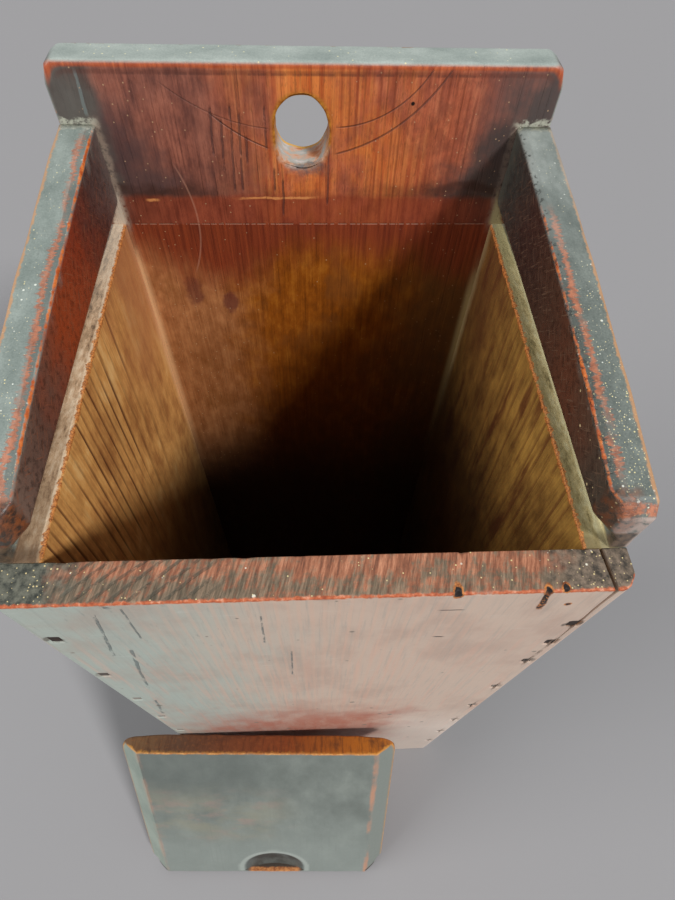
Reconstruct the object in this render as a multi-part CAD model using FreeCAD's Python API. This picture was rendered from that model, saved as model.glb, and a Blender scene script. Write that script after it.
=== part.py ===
"""Antique candle box: six pine boards held by cut nails, with a bevelled lid that slides in grooves.

Millimetres. The origin is the middle of the box's underside, +Z is up and -Y is the front.
The box stands open, and its lid leans on the front board with the thumb-notch end on the floor.
"""
import FreeCAD
import Part
import math
import os

# The carcass: outside sizes and board thicknesses
width = 170.0
depth = 166.0
ledge_height = 358.0        # floor to the top of the front board, where the lid runs
side_thickness = 12.0
front_thickness = 12.0
back_thickness = 12.0
bottom_thickness = 12.0

# The lips: each side board carries on above its groove and rises towards the back
lip_front = 21.0            # above the ledge
lip_back = 39.0
lip_bow = 1.8               # the top edge swells this much above a straight line
lip_nose_radius = 4.0
lip_arris_radius = 1.5

# The crest: the back board above the ledge, with the hole it hangs by
crest_height = 59.0
crest_corner_radius = 6.0
crest_arris_radius = 2.5
wall_arris_radius = 1.5
hole_width = 19.0
hole_length = 25.5          # cut longer than wide
hole_top_gap = 10.0         # wood left above the hole
hole_offset = -2.7
hole_rim_radius = 1.2

# The front board: its ends and top are worn round, and one end has split along the nails
front_corner_radius = 5.0
seam_corner_radius = 1.0
front_arris_radius = 1.0
split_width = 1.2
split_length = 66.0

# The lid and the grooves it runs in
lid_thickness = 12.0
lid_edge = 3.5              # what the bevel leaves of the lid's long edges
lid_bevel = 11.6
lid_corner_radius = 9.0
lid_arris_radius = 0.8
groove_depth = 7.0
side_gap = 0.5              # between the lid's edge and the root of its groove
lid_play = 1.5              # between the bevel and the top of its groove
end_gap = 0.5               # between the closed lid and the back board
lid_lap = 1.0               # how far the closed lid covers the front board's top

# The thumb notch: a round gouge cut that ends at a straight wall near the lid's front end
notch_radius = 21.0
notch_depth = 4.5
notch_wall = 2.0            # wood between the notch and the lid's end
notch_reach = 4.0           # from the wall to the middle of the round cut
notch_offset = 5.5          # it was cut a little to the right

# Where the lid leans
lean_angle = 25.0           # from upright, in degrees
lid_turn = -2.4             # about the upright, in degrees
lid_shift = -37.0           # sideways, at the foot
lean_gap = 0.3              # from the front board

# The cut nails, and where they are driven
nail_length = 38.0
nail_thickness = 2.0
nail_top_width = 2.8
nail_point_width = 1.2
head_length = 4.4
head_width = 3.0
head_thickness = 1.2
head_sink = 0.3
nail_inset = 7.0            # from the side's outer face
nail_first = 30.0           # from the ledge down to the first row
nail_pitch = 46.5
repair_drop = 50.7          # from the ledge to the nail that was added beside the split
bottom_nail_margin = 45.0   # from a corner of the box to the nearest nail in the bottom's edge
bottom_nail_count = 3

# Worked out from the sizes above
half_width = width / 2
front_y = -depth / 2
back_y = depth / 2
well_front_y = front_y + front_thickness
well_back_y = back_y - back_thickness
well_half_width = half_width - side_thickness
bevel_slope = (lid_thickness - lid_edge) / lid_bevel
groove_root_height = lid_edge - bevel_slope * side_gap + lid_play
groove_mouth_height = groove_root_height + bevel_slope * groove_depth
lid_half_width = well_half_width + groove_depth - side_gap
lid_front_y = well_front_y - lid_lap
lid_back_y = well_back_y - end_gap
lid_length = lid_back_y - lid_front_y
nail_x = half_width - nail_inset
past = 1.0                  # how far a cutting tool stands past what it cuts


def vector(x, y, z):
    return FreeCAD.Vector(x, y, z)


def box(low, high):
    """A plain box between two corners."""
    size = high - low
    return Part.makeBox(size.x, size.y, size.z, low)


def prism(points, travel):
    """A closed outline of straight lines, swept along travel."""
    outline = Part.makePolygon(points + [points[0]])
    return Part.Face(outline).extrude(travel)


def edges_where(shape, test):
    """The edges whose two ends both pass the test."""
    return [edge for edge in shape.Edges if all(test(vertex.Point) for vertex in edge.Vertexes)]


def close(a, b):
    return abs(a - b) < 1e-4


def cut_nail():
    """A cut nail with the outside of its head at the origin, pointing along +Z.

    The shank was sheared from flat plate, so it tapers on two sides only, to a blunt point.
    """
    head = box(vector(-head_length / 2, -head_width / 2, 0),
               vector(head_length / 2, head_width / 2, head_thickness))
    half = nail_thickness / 2
    shank = prism([vector(-nail_top_width / 2, -half, head_thickness),
                   vector(nail_top_width / 2, -half, head_thickness),
                   vector(nail_point_width / 2, -half, nail_length),
                   vector(-nail_point_width / 2, -half, nail_length)],
                  vector(0, nail_thickness, 0))
    return head.fuse(shank).removeSplitter()


def nail_hole():
    """What a driven nail displaces: its own body and the dent that the hammer left above the head."""
    dent = box(vector(-head_length / 2, -head_width / 2, -head_sink - past),
               vector(head_length / 2, head_width / 2, 0))
    return cut_nail().fuse(dent)


def driven(shape, surface_point, direction):
    """Put a nail-shaped solid where its head sits below a board's surface, driven along direction.

    The wide way of the nail stands upright, along the grain of the boards it is driven through.
    """
    turn = FreeCAD.Rotation(vector(0, 0, 1), vector(0, 0, 0), direction, "ZXY")
    copy = shape.copy()
    copy.Placement = FreeCAD.Placement(surface_point + direction * head_sink, turn)
    return copy


def nail_rows():
    """Heights of the nails that hold the front and back boards to the sides."""
    count = int((ledge_height - 2 * nail_first) // nail_pitch) + 1
    return [ledge_height - nail_first - row * nail_pitch for row in range(count)]


def spread(low, high, count):
    """Evenly spaced places from low to high."""
    return [low + (high - low) * step / (count - 1) for step in range(count)]


def nail_places():
    """Each nail's name, the point on the surface where it enters, and its direction."""
    into_front = vector(0, 1, 0)
    into_back = vector(0, -1, 0)
    bottom_z = bottom_thickness / 2
    lip_z = ledge_height + (groove_mouth_height + lip_back) / 2
    across = spread(-half_width + bottom_nail_margin, half_width - bottom_nail_margin, bottom_nail_count)
    along = spread(front_y + bottom_nail_margin, back_y - bottom_nail_margin, bottom_nail_count)
    places = {}
    for side, sign in (("left", -1), ("right", 1)):
        for row, z in enumerate(nail_rows(), 1):
            places[f"front_nail_{side}_{row}"] = (vector(sign * nail_x, front_y, z), into_front)
        for row, z in enumerate([lip_z] + nail_rows(), 1):
            places[f"back_nail_{side}_{row}"] = (vector(sign * nail_x, back_y, z), into_back)
        for place, y in enumerate(along, 1):
            places[f"side_nail_{side}_{place}"] = (vector(sign * half_width, y, bottom_z), vector(-sign, 0, 0))
    for place, x in enumerate(across, 1):
        places[f"front_nail_bottom_{place}"] = (vector(x, front_y, bottom_z), into_front)
        places[f"back_nail_bottom_{place}"] = (vector(x, back_y, bottom_z), into_back)
    places["repair_nail"] = (vector(nail_x, front_y, ledge_height - repair_drop), into_front)
    return places


def lid_groove():
    """The groove in the right-hand side: flat below, and sloped above to match the lid's bevel."""
    mouth_x = well_half_width
    root_x = mouth_x + groove_depth
    slope = bevel_slope * past
    return prism([vector(mouth_x - past, well_front_y - past, ledge_height),
                  vector(root_x, well_front_y - past, ledge_height),
                  vector(root_x, well_front_y - past, ledge_height + groove_root_height),
                  vector(mouth_x - past, well_front_y - past, ledge_height + groove_mouth_height + slope)],
                 vector(0, well_back_y - well_front_y + 2 * past, 0))


def right_side():
    """The right-hand board, with its groove and the lip that rises towards the back."""
    lip_nose = vector(well_half_width, well_front_y, ledge_height + lip_front)
    lip_tail = vector(well_half_width, well_back_y, ledge_height + lip_back)
    lip_middle = (lip_nose + lip_tail) * 0.5 + vector(0, 0, lip_bow)
    foot_front = vector(well_half_width, well_front_y, 0)
    foot_back = vector(well_half_width, well_back_y, 0)
    outline = Part.Wire([Part.LineSegment(foot_front, lip_nose).toShape(),
                         Part.Arc(lip_nose, lip_middle, lip_tail).toShape(),
                         Part.LineSegment(lip_tail, foot_back).toShape(),
                         Part.LineSegment(foot_back, foot_front).toShape()])
    board = Part.Face(outline).extrude(vector(side_thickness, 0, 0))
    nose = edges_where(board, lambda p: close(p.y, well_front_y) and close(p.z, lip_nose.z))
    board = board.makeFillet(lip_nose_radius, nose)

    def on_lip_top(p):
        return p.z > ledge_height + lip_front - lip_nose_radius - past and not close(p.y, well_back_y)

    def along_lip(edge):
        ends = [vertex.Point for vertex in edge.Vertexes]
        level_x = all(close(p.x, ends[0].x) for p in ends)
        return level_x and any(on_lip_top(p) for p in ends) and min(p.z for p in ends) > ledge_height
    board = board.makeFillet(lip_arris_radius, [edge for edge in board.Edges if along_lip(edge)])
    return board.cut(lid_groove())


def front_board():
    """The front board, nailed over the sides' front edges, with its split along the nail line."""
    board = box(vector(-half_width, front_y, 0), vector(half_width, well_front_y, ledge_height))
    upright = edges_where(board, lambda p: close(p.y, front_y) and close(abs(p.x), half_width))
    upright = [edge for edge in upright if close(edge.Vertexes[0].Point.x, edge.Vertexes[1].Point.x)]
    board = board.makeFillet(front_corner_radius, upright)
    seams = [edge for edge in edges_where(board, lambda p: close(p.y, well_front_y))
             if close(edge.Vertexes[0].Point.x, edge.Vertexes[1].Point.x)]
    board = board.makeFillet(seam_corner_radius, seams)
    top_front = edges_where(board, lambda p: close(p.z, ledge_height) and p.y < well_front_y - past)
    board = board.makeFillet(front_arris_radius, top_front)
    split = prism([vector(nail_x - split_width / 2, front_y - past, ledge_height + past),
                   vector(nail_x + split_width / 2, front_y - past, ledge_height + past),
                   vector(nail_x, front_y - past, ledge_height - split_length)],
                  vector(0, front_thickness + 2 * past, 0))
    return board.cut(split)


def hanging_hole():
    """The long round-ended hole through the crest."""
    radius = hole_width / 2
    top_z = ledge_height + crest_height - hole_top_gap - radius
    low_z = top_z - (hole_length - hole_width)
    through = vector(0, back_thickness + 2 * past, 0)
    start_y = well_back_y - past
    rounds = [Part.makeCylinder(radius, through.y, vector(hole_offset, start_y, z), vector(0, 1, 0))
              for z in (top_z, low_z)]
    middle = box(vector(hole_offset - radius, start_y, low_z),
                 vector(hole_offset + radius, start_y + through.y, top_z))
    return rounds[0].fuse([rounds[1], middle]).removeSplitter()


def back_board():
    """The back board, which stands above the box as a crest to hang it by."""
    top_z = ledge_height + crest_height
    board = box(vector(-half_width, well_back_y, 0), vector(half_width, back_y, top_z))
    corners = [edge for edge in edges_where(board, lambda p: close(p.z, top_z))
               if close(edge.Vertexes[0].Point.x, edge.Vertexes[1].Point.x)]
    board = board.makeFillet(crest_corner_radius, corners)
    board = board.cut(hanging_hole())

    def rim(edge):
        points = [edge.valueAt(edge.FirstParameter), edge.valueAt(edge.LastParameter)]
        return all(abs(p.x) < well_half_width and p.z > ledge_height and p.z < top_z - past for p in points)
    rims = [edge for edge in board.Edges if rim(edge)
            and close(edge.Vertexes[0].Point.y, edge.Vertexes[-1].Point.y)]
    board = board.makeFillet(hole_rim_radius, rims)
    for y, radius in ((well_back_y, crest_arris_radius), (back_y, wall_arris_radius)):
        def outer(edge, y=y):
            ends = [vertex.Point for vertex in edge.Vertexes]
            on_face = all(close(p.y, y) for p in ends)
            outside = all(abs(p.x) > half_width - crest_corner_radius - past for p in ends)
            return on_face and outside and any(p.z > past for p in ends)
        board = board.makeFillet(radius, [edge for edge in board.Edges if outer(edge)])
    return board


def bottom_board():
    """The bottom, set between the four walls and nailed through them."""
    return box(vector(-well_half_width, well_front_y, 0), vector(well_half_width, well_back_y, bottom_thickness))


def thumb_notch():
    """The notch in the closed lid's top: part of a wide ball, stopped by the straight wall."""
    ball_radius = (notch_radius ** 2 + notch_depth ** 2) / (2 * notch_depth)
    face_z = ledge_height + lid_thickness
    wall_y = lid_front_y + notch_wall
    middle_y = wall_y + notch_reach
    ball = Part.makeSphere(ball_radius, vector(notch_offset, middle_y, face_z + ball_radius - notch_depth))
    keep = box(vector(notch_offset - notch_radius - past, wall_y, face_z - notch_depth - past),
               vector(notch_offset + notch_radius + past, middle_y + notch_radius + past, face_z + past))
    return ball.common(keep)


def closed_lid():
    """The lid where it closes the box, bevelled on the two edges that run in the grooves."""
    face_z = ledge_height + lid_thickness
    field_x = lid_half_width - lid_bevel
    lid = prism([vector(-lid_half_width, lid_front_y, ledge_height),
                 vector(lid_half_width, lid_front_y, ledge_height),
                 vector(lid_half_width, lid_front_y, ledge_height + lid_edge),
                 vector(field_x, lid_front_y, face_z),
                 vector(-field_x, lid_front_y, face_z),
                 vector(-lid_half_width, lid_front_y, ledge_height + lid_edge)],
                vector(0, lid_length, 0))
    plan = box(vector(-lid_half_width, lid_front_y, ledge_height),
               vector(lid_half_width, lid_back_y, face_z))
    corners = [edge for edge in plan.Edges if close(edge.Vertexes[0].Point.x, edge.Vertexes[1].Point.x)
               and close(edge.Vertexes[0].Point.y, edge.Vertexes[1].Point.y)]
    lid = lid.common(plan.makeFillet(lid_corner_radius, corners))
    ends = edges_where(lid, lambda p: close(p.z, face_z) and (close(p.y, lid_front_y) or close(p.y, lid_back_y)))
    ends = [edge for edge in ends if close(edge.Vertexes[0].Point.y, edge.Vertexes[1].Point.y)]
    lid = lid.makeFillet(lid_arris_radius, ends)
    return lid.cut(thumb_notch())


def leaning(lid):
    """Stand the closed lid on its front end and lean its back end on the front board."""
    lean = math.radians(lean_angle)
    turn = math.radians(lid_turn)
    reach = lid_length * math.sin(lean)
    touch_x = -(half_width - front_corner_radius)
    along = (touch_x - lid_shift + reach * math.sin(turn)) / math.cos(turn)
    foot_y = front_y - lean_gap - reach * math.cos(turn) - along * math.sin(turn)
    moved = lid.copy()
    moved.translate(vector(0, -lid_front_y, -ledge_height))
    moved.rotate(vector(0, 0, 0), vector(1, 0, 0), 90 - lean_angle)
    moved.rotate(vector(0, 0, 0), vector(0, 0, 1), lid_turn)
    moved.translate(vector(lid_shift, foot_y, 0))
    return moved


def build():
    """All the pieces by name, with each nail's hole cut in the boards that it passes through."""
    places = nail_places()
    nails = {name: driven(cut_nail(), point, direction) for name, (point, direction) in places.items()}
    holes = {name: driven(nail_hole(), point, direction) for name, (point, direction) in places.items()}
    side = right_side()
    boards = {
        "back_board": back_board(),
        "left_side": side.mirror(vector(0, 0, 0), vector(1, 0, 0)),
        "right_side": side,
        "front_board": front_board(),
        "bottom_board": bottom_board(),
    }
    for name, board in boards.items():
        near = [hole for hole in holes.values() if hole.BoundBox.intersect(board.BoundBox)]
        boards[name] = board.cut(near)
    return {**boards, "lid": leaning(closed_lid()), **nails}


def save(pieces):
    """Write each piece to its own STEP file, and say what was built."""
    os.makedirs("parts", exist_ok=True)
    for name, shape in pieces.items():
        shape.exportStep(f"parts/{name}.step")
        size = shape.BoundBox
        print(f"{name}: {len(shape.Solids)} solid, {shape.Volume / 1000:.2f} cm3, valid {shape.isValid()}, "
              f"z {size.ZMin:.2f} to {size.ZMax:.2f}")


save(build())
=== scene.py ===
import math
from types import SimpleNamespace

import bmesh
import bpy
import numpy as np
from mathutils import Matrix, Vector


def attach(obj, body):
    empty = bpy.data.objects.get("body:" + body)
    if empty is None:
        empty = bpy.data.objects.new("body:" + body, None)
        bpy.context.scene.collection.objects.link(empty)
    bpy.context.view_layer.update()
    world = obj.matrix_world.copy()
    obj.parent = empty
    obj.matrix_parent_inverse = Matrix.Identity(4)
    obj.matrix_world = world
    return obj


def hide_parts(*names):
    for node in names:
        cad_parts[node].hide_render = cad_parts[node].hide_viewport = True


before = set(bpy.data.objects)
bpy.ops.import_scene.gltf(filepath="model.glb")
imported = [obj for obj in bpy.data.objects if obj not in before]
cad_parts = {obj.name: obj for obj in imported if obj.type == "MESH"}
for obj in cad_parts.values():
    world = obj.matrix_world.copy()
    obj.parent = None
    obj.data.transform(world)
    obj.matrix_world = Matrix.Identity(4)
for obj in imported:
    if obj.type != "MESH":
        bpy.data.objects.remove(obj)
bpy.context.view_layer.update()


# ---------------------------------------------------------------------------
# The bottom board: plain pine, sawn to fit between the four walls and nailed
# through their feet. It is never painted, and only its underside is seen.
# All sizes are in millimetres, and a piece becomes metres when it is made.

LEDGE = 358.0                           # how high the front board and the ledges stand
HALF_WIDTH, HALF_DEPTH, BOARD = 85.0, 83.0, 12.0        # outside half sizes, and how thick a board is
WELL_X, WELL_Y = HALF_WIDTH - BOARD, HALF_DEPTH - BOARD
BOTTOM_NAILS_X, BOTTOM_NAILS_Y, BOTTOM_NAIL_Z = (-40, 0, 40), (-38, 0, 38), 6


def stations(low, high, step, fine=(), exact=()):
    """Places from low to high at an even step, with closer ones round each (centre, reach, step) in fine.

    Those in exact are added as they are.
    """
    places = [np.linspace(low, high, int(round((high - low) / step)) + 1), np.array(exact, float)]
    for centre, reach, small in fine:
        near = np.arange(centre - reach, centre + reach + small / 2, small)
        at_end = (places[0] == low) | (places[0] == high)
        places[0] = places[0][(np.abs(places[0] - centre) > reach + small / 2) | at_end]
        places.append(near[(near > low + small) & (near < high - small)])
    places = np.sort(np.concatenate(places))
    return places[np.append(np.diff(places) > 0.01, True)]


def ripple(a, b, size, seed):
    """Uneven waves of unit height: the sum of 24 plane waves of about that size, turned at random."""
    chance = np.random.default_rng(seed)
    total = 0.0
    for turn, shift, stretch in chance.uniform((0, 0, 0.6), (2 * math.pi, 2 * math.pi, 1.6), (24, 3)):
        along = a * math.cos(turn) + b * math.sin(turn)
        total = total + np.sin(2 * math.pi * along / (size * stretch) + shift)
    return total / math.sqrt(12)


def smooth(value, low, high):
    """0 below low, 1 above high, and 3t^2 - 2t^3 between them."""
    t = np.clip((value - low) / (high - low), 0, 1)
    return t * t * (3 - 2 * t)


def loop(rows, columns):
    """Row and column numbers once round the rectangle between two rows and two columns."""
    (top, bottom), (left, right) = rows, columns
    i = np.concatenate([np.full(right - left, top), np.arange(top, bottom), np.full(right - left, bottom),
                        np.arange(bottom, top, -1)])
    j = np.concatenate([np.arange(left, right), np.full(bottom - top, right), np.arange(right, left, -1),
                        np.full(bottom - top, left)])
    return i, j


def unit(v):
    return v / np.maximum(np.linalg.norm(v, axis=-1, keepdims=True), 1e-9)


def roll(front, back, rim, away, reach, steps):
    """The strip between two sheets along one loop, with both arrises rolled over.

    Each sheet's rim is drawn back from the sharp corner S by the reach, to A. The strip follows the curve
    (1-t)^2 A + 2t(1-t) S + t^2 B, where B lies the same reach down the edge. A straight run joins the two.
    """
    i, j = rim
    beside = (i + away[0], j + away[1])
    rows = []
    corners = [front[i, j].copy(), back[i, j].copy()]
    down = unit(corners[1] - corners[0])
    half = 0.45 * np.linalg.norm(corners[1] - corners[0], axis=-1)
    for sheet, corner, way, far in ((front, corners[0], down, reach[0]), (back, corners[1], -down, reach[1])):
        far = np.minimum(far, half)[:, None]
        a = corner + unit(sheet[beside] - corner) * far
        b = corner + way * far
        sheet[i, j] = a
        t = (np.arange(1, steps + 1) / steps)[:, None, None]
        rows.append((1 - t) ** 2 * a + 2 * t * (1 - t) * corner + t ** 2 * b)
    return np.concatenate([rows[0], rows[1][::-1]])


def squares(index):
    """The four corner numbers of each cell of a grid of point numbers."""
    cells = np.stack([index[:-1, :-1], index[1:, :-1], index[1:, 1:], index[:-1, 1:]], axis=-1)
    return cells.reshape(-1, 4)


def board(front, back, reach, hole=None, hole_reach=None, steps=4):
    """Points and faces of a closed board from its two sheets of points, with rolled arrises.

    The hole, if there is one, is given by the rows and the columns of the grid that it lies between.
    """
    rows, columns = front.shape[:2]
    numbers = np.arange(rows * columns).reshape(rows, columns)
    keep = np.ones((rows - 1, columns - 1), bool)
    rim = loop((0, rows - 1), (0, columns - 1))
    inward = ((rim[0] == 0) * 1 - (rim[0] == rows - 1), (rim[1] == 0) * 1 - (rim[1] == columns - 1))
    rims = [(rim, inward, reach)]
    if hole is not None:
        (top, bottom), (left, right) = hole
        keep[top:bottom, left:right] = False
        ring = loop(*hole)
        outward = ((ring[0] == bottom) * 1 - (ring[0] == top), (ring[1] == right) * 1 - (ring[1] == left))
        rims.append((ring, outward, hole_reach))
    strips, faces, count = [], [], 2 * rows * columns
    for edge, way, far in rims:
        strip = roll(front, back, edge, way, far, steps)
        inside = count + np.arange(strip.shape[0] * strip.shape[1]).reshape(strip.shape[:2])
        count += inside.size
        strips.append(strip.reshape(-1, 3))
        around = np.concatenate([numbers[edge][None], inside, numbers[edge][None] + rows * columns])
        faces.append(squares(np.concatenate([around, around[:, :1]], axis=1)))
    sheet = squares(numbers)[keep.ravel()]
    faces += [sheet, sheet + rows * columns]
    points = np.concatenate([front.reshape(-1, 3), back.reshape(-1, 3)] + strips)
    faces = np.concatenate(faces)
    used = np.unique(faces)
    renumber = np.zeros(len(points), int)
    renumber[used] = np.arange(len(used))
    return points[used], renumber[faces]


def made(name, points, faces, body, node, slot, material, **marks):
    """Make the finished piece in metres, with its marks as point attributes, in place of its CAD node."""
    mesh = bpy.data.meshes.new(name)
    mesh.from_pydata((points / 1000).tolist(), [], faces.tolist())
    for mark, values in marks.items():
        mesh.attributes.new(mark, "FLOAT", "POINT").data.foreach_set("value", values.astype(np.float32))
    work = bmesh.new()
    work.from_mesh(mesh)
    bmesh.ops.recalc_face_normals(work, faces=work.faces)
    work.to_mesh(mesh)
    work.free()
    mesh.shade_smooth()
    mesh.materials.append(material)
    piece = bpy.data.objects.new(name, mesh)
    bpy.context.scene.collection.objects.link(piece)
    piece.modifiers.new("flat faces stay flat", "WEIGHTED_NORMAL").weight = 80
    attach(piece, body)
    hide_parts(node)
    return piece


def tint(red, green, blue):
    """A colour as the eye names it, 0 to 255, as the linear values that a shader takes."""
    shares = [c / 255 for c in (red, green, blue)]
    return tuple(((c + 0.055) / 1.055) ** 2.4 if c > 10 / 255 else c / 12.92 for c in shares) + (1,)


class Finish:
    """A material drawn up in millimetres on the piece's own coordinates.

    Each method adds one step to it. A shift only moves a noise along, so that no two are alike.
    """

    def __init__(self, name):
        self.material = bpy.data.materials.new(name)
        self.material.use_nodes = True
        self.tree = self.material.node_tree
        self.shader = self.tree.nodes["Principled BSDF"]
        place = self.tree.nodes.new("ShaderNodeTexCoord").outputs["Object"]
        self.place = self.vector("MULTIPLY", place, (1000, 1000, 1000))
        self.x, self.y, self.z = self.split(self.place)

    def put(self, socket, value):
        """Link a step's result to the socket, or set a plain value there."""
        if isinstance(value, bpy.types.NodeSocket):
            self.tree.links.new(value, socket)
        elif value is not None:
            socket.default_value = value

    def node(self, kind, inputs, **settings):
        made_node = self.tree.nodes.new("ShaderNode" + kind)
        for name, value in settings.items():
            setattr(made_node, name, value)
        for name, value in inputs.items():
            self.put(made_node.inputs[name], value)
        return made_node

    def vector(self, how, a, b):
        return self.node("VectorMath", {0: a, 1: b}, operation=how).outputs[0]

    def split(self, vector):
        return self.node("SeparateXYZ", {0: vector}).outputs[:]

    def math(self, how, a, b=None, c=None):
        return self.node("Math", {0: a, 1: b, 2: c}, operation=how).outputs[0]

    def add(self, *values):
        total = values[0]
        for value in values[1:]:
            total = self.math("ADD", total, value)
        return total

    def times(self, *values):
        total = values[0]
        for value in values[1:]:
            total = self.math("MULTIPLY", total, value)
        return total

    def minus(self, a, b):
        return self.math("SUBTRACT", a, b)

    def less(self, value):
        """1 - value"""
        return self.minus(1.0, value)

    def size(self, value):
        """The value without its sign."""
        return self.math("ABSOLUTE", value)

    def line(self, value, slope, start):
        """slope * value + start"""
        return self.math("MULTIPLY_ADD", value, slope, start)

    def rise(self, value, low, high):
        """0 below low to 1 above high, smoothly; the other way round when low is the larger."""
        inputs = {"Value": value, "From Min": min(low, high), "From Max": max(low, high),
                  "To Min": float(low > high), "To Max": float(low < high)}
        return self.node("MapRange", inputs, interpolation_type="SMOOTHSTEP").outputs[0]

    def noise(self, size, stretch=(1, 1, 1), detail=3.0, rough=0.5, shift=0.0, place=None):
        """Cloudy noise from 0 to 1 whose lumps are about size across, longer by stretch along each axis."""
        scale = tuple(1 / (size * s) for s in stretch)
        at = self.node("VectorMath",
                       {0: place or self.place, 1: scale, 2: (shift, shift * 1.7, shift * 0.6)},
                       operation="MULTIPLY_ADD").outputs[0]
        return self.node("TexNoise",
                         {"Vector": at, "Scale": 1.0, "Detail": detail, "Roughness": rough}).outputs[0]

    def patches(self, low, high, *noise):
        """Ragged patches: 0 where that noise is below low, 1 where it is above high."""
        return self.rise(self.noise(*noise), low, high)

    def specks(self, size, share, shift=0.0, soft=0.08):
        """Round spots, one at most in each cell of that size, on that share of cells, of uneven width."""
        at = self.node("VectorMath", {0: self.place, 1: (1 / size,) * 3, 2: (shift,) * 3},
                       operation="MULTIPLY_ADD").outputs[0]
        cell = self.node("TexVoronoi", {"Vector": at, "Scale": 1.0})
        chosen, width, _ = self.split(cell.outputs["Color"])
        reach = self.line(width, 0.22, 0.1)
        inside = self.minus(reach, cell.outputs["Distance"])
        picked = self.math("LESS_THAN", chosen, share)
        return self.times(self.rise(inside, 0.0, soft), picked)

    def mark(self, name):
        """One of the piece's own marks, which made() has written on its points."""
        return self.node("Attribute", {}, attribute_name=name).outputs["Fac"]

    def distance(self, centre, scale=None):
        """How far away centre is, with each axis counted scale times."""
        away = self.vector("SUBTRACT", self.place, centre)
        if scale is not None:
            away = self.vector("MULTIPLY", away, scale)
        return self.node("VectorMath", {0: away}, operation="LENGTH").outputs["Value"]

    def comb(self, value):
        """Even teeth: 0 half way between whole numbers, 0.5 at each of them."""
        return self.size(self.minus(self.math("FRACT", value), 0.5))

    def blend(self, share, a, b):
        """a where the share is 0 and b where it is 1; either may be a colour as three numbers."""
        mixer = self.node("Mix", {}, data_type="RGBA", blend_type="MIX")
        for index, value in ((0, share), (6, a), (7, b)):
            self.put(mixer.inputs[index], tint(*value) if isinstance(value, tuple) else value)
        return mixer.outputs[2]

    def stain(self, under, colour, *shares):
        """The colour laid over what is under it, as densely as the product of the shares."""
        return self.blend(self.times(*shares), under, colour)

    def ramp(self, value, *stops):
        """A colour ramp through (place, colour) stops."""
        ramp = self.node("ValToRGB", {0: value})
        points = ramp.color_ramp.elements
        for index, (at, colour) in enumerate(stops):
            point = points[index] if index < 2 else points.new(at)
            point.position, point.color = at, tint(*colour) if len(colour) == 3 else colour
        return ramp.outputs[0]

    def curve(self, value, *stops):
        """A height that runs straight from one (place, height) stop to the next."""
        greys = [(at, (height, height, height, 1)) for at, height in stops]
        return self.split(self.ramp(value, *greys))[0]

    def rings(self, centre, period, taper=0.02, sway=6.0, shift=0.0):
        """0 to 1 across each year ring of a board whose trunk had its heart upright through centre."""
        radius = self.distance(centre, (1, 1, 0))
        wander = self.noise(38, (1, 1, 6), 2.0, 0.45, shift)
        radius = self.add(radius, self.times(self.z, taper), self.times(wander, sway))
        return self.math("FRACT", self.times(radius, 1 / period))

    def near(self, value, at, half, soft=0.3):
        """1 where the value is within half of at, falling to 0 over soft."""
        away = self.size(self.minus(value, at))
        return self.rise(away, half + soft, half)

    def between(self, value, low, high, soft):
        """1 from low to high, with both ends softened."""
        return self.times(self.rise(value, low - soft, low + soft),
                          self.rise(value, high + soft, high - soft))

    def most(self, *values):
        total = values[0]
        for value in values[1:]:
            total = self.math("MAXIMUM", total, value)
        return total

    def shaken(self, value, amount, size, shift, stretch=(1, 1, 1), detail=3.0):
        """The value pushed up and down unevenly, by up to about a quarter of amount."""
        lump = self.noise(size, stretch, detail, 0.6, shift)
        return self.line(self.minus(lump, 0.5), amount, value)

    def ragged(self, value, low, high, amount, size, shift, stretch=(1, 1, 1), detail=3.0):
        """Like rise(), with a border as uneven as shaken() makes it."""
        return self.rise(self.shaken(value, amount, size, shift, stretch, detail), low, high)

    def arc(self, middle, radius, ends, half):
        """A thin line along a circle round (x, z) on an upright face, drawn between two values of x."""
        radius_here = self.distance((middle[0], 0, middle[1]), (1, 0, 1))
        return self.times(self.near(radius_here, radius, half, 0.25), self.between(self.x, *ends, 1.5))

    def scratch(self, start, end, half, shift=0.0):
        """A nearly straight mark on an upright face, from one (x, z) to another."""
        run = np.subtract(end, start)
        length = float(np.hypot(*run))
        ux, uz = (run / length).tolist()
        here = self.vector("SUBTRACT", self.place, (start[0], 0, start[1]))
        along = self.node("VectorMath", {0: here, 1: (ux, 0, uz)}, operation="DOT_PRODUCT").outputs["Value"]
        aside = self.node("VectorMath", {0: here, 1: (-uz, 0, ux)}, operation="DOT_PRODUCT").outputs["Value"]
        aside = self.shaken(aside, half * 3, 5, shift)
        return self.times(self.near(aside, 0, half, half * 0.7), self.between(along, 0, length, 1.0))

    def dress(self, colour, rough, height=None, depth=0.3, **settings):
        """Send the colour, the roughness and a bump of that depth to the shader, and return the material."""
        self.put(self.shader.inputs["Base Color"], tint(*colour) if isinstance(colour, tuple) else colour)
        self.put(self.shader.inputs["Roughness"], rough)
        if height is not None:
            bump = self.node("Bump", {"Strength": 1.0, "Distance": depth / 1000, "Height": height})
            self.put(self.shader.inputs["Normal"], bump.outputs[0])
        for name, value in settings.items():
            self.shader.inputs[name.replace("_", " ")].default_value = value
        return self.material


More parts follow.
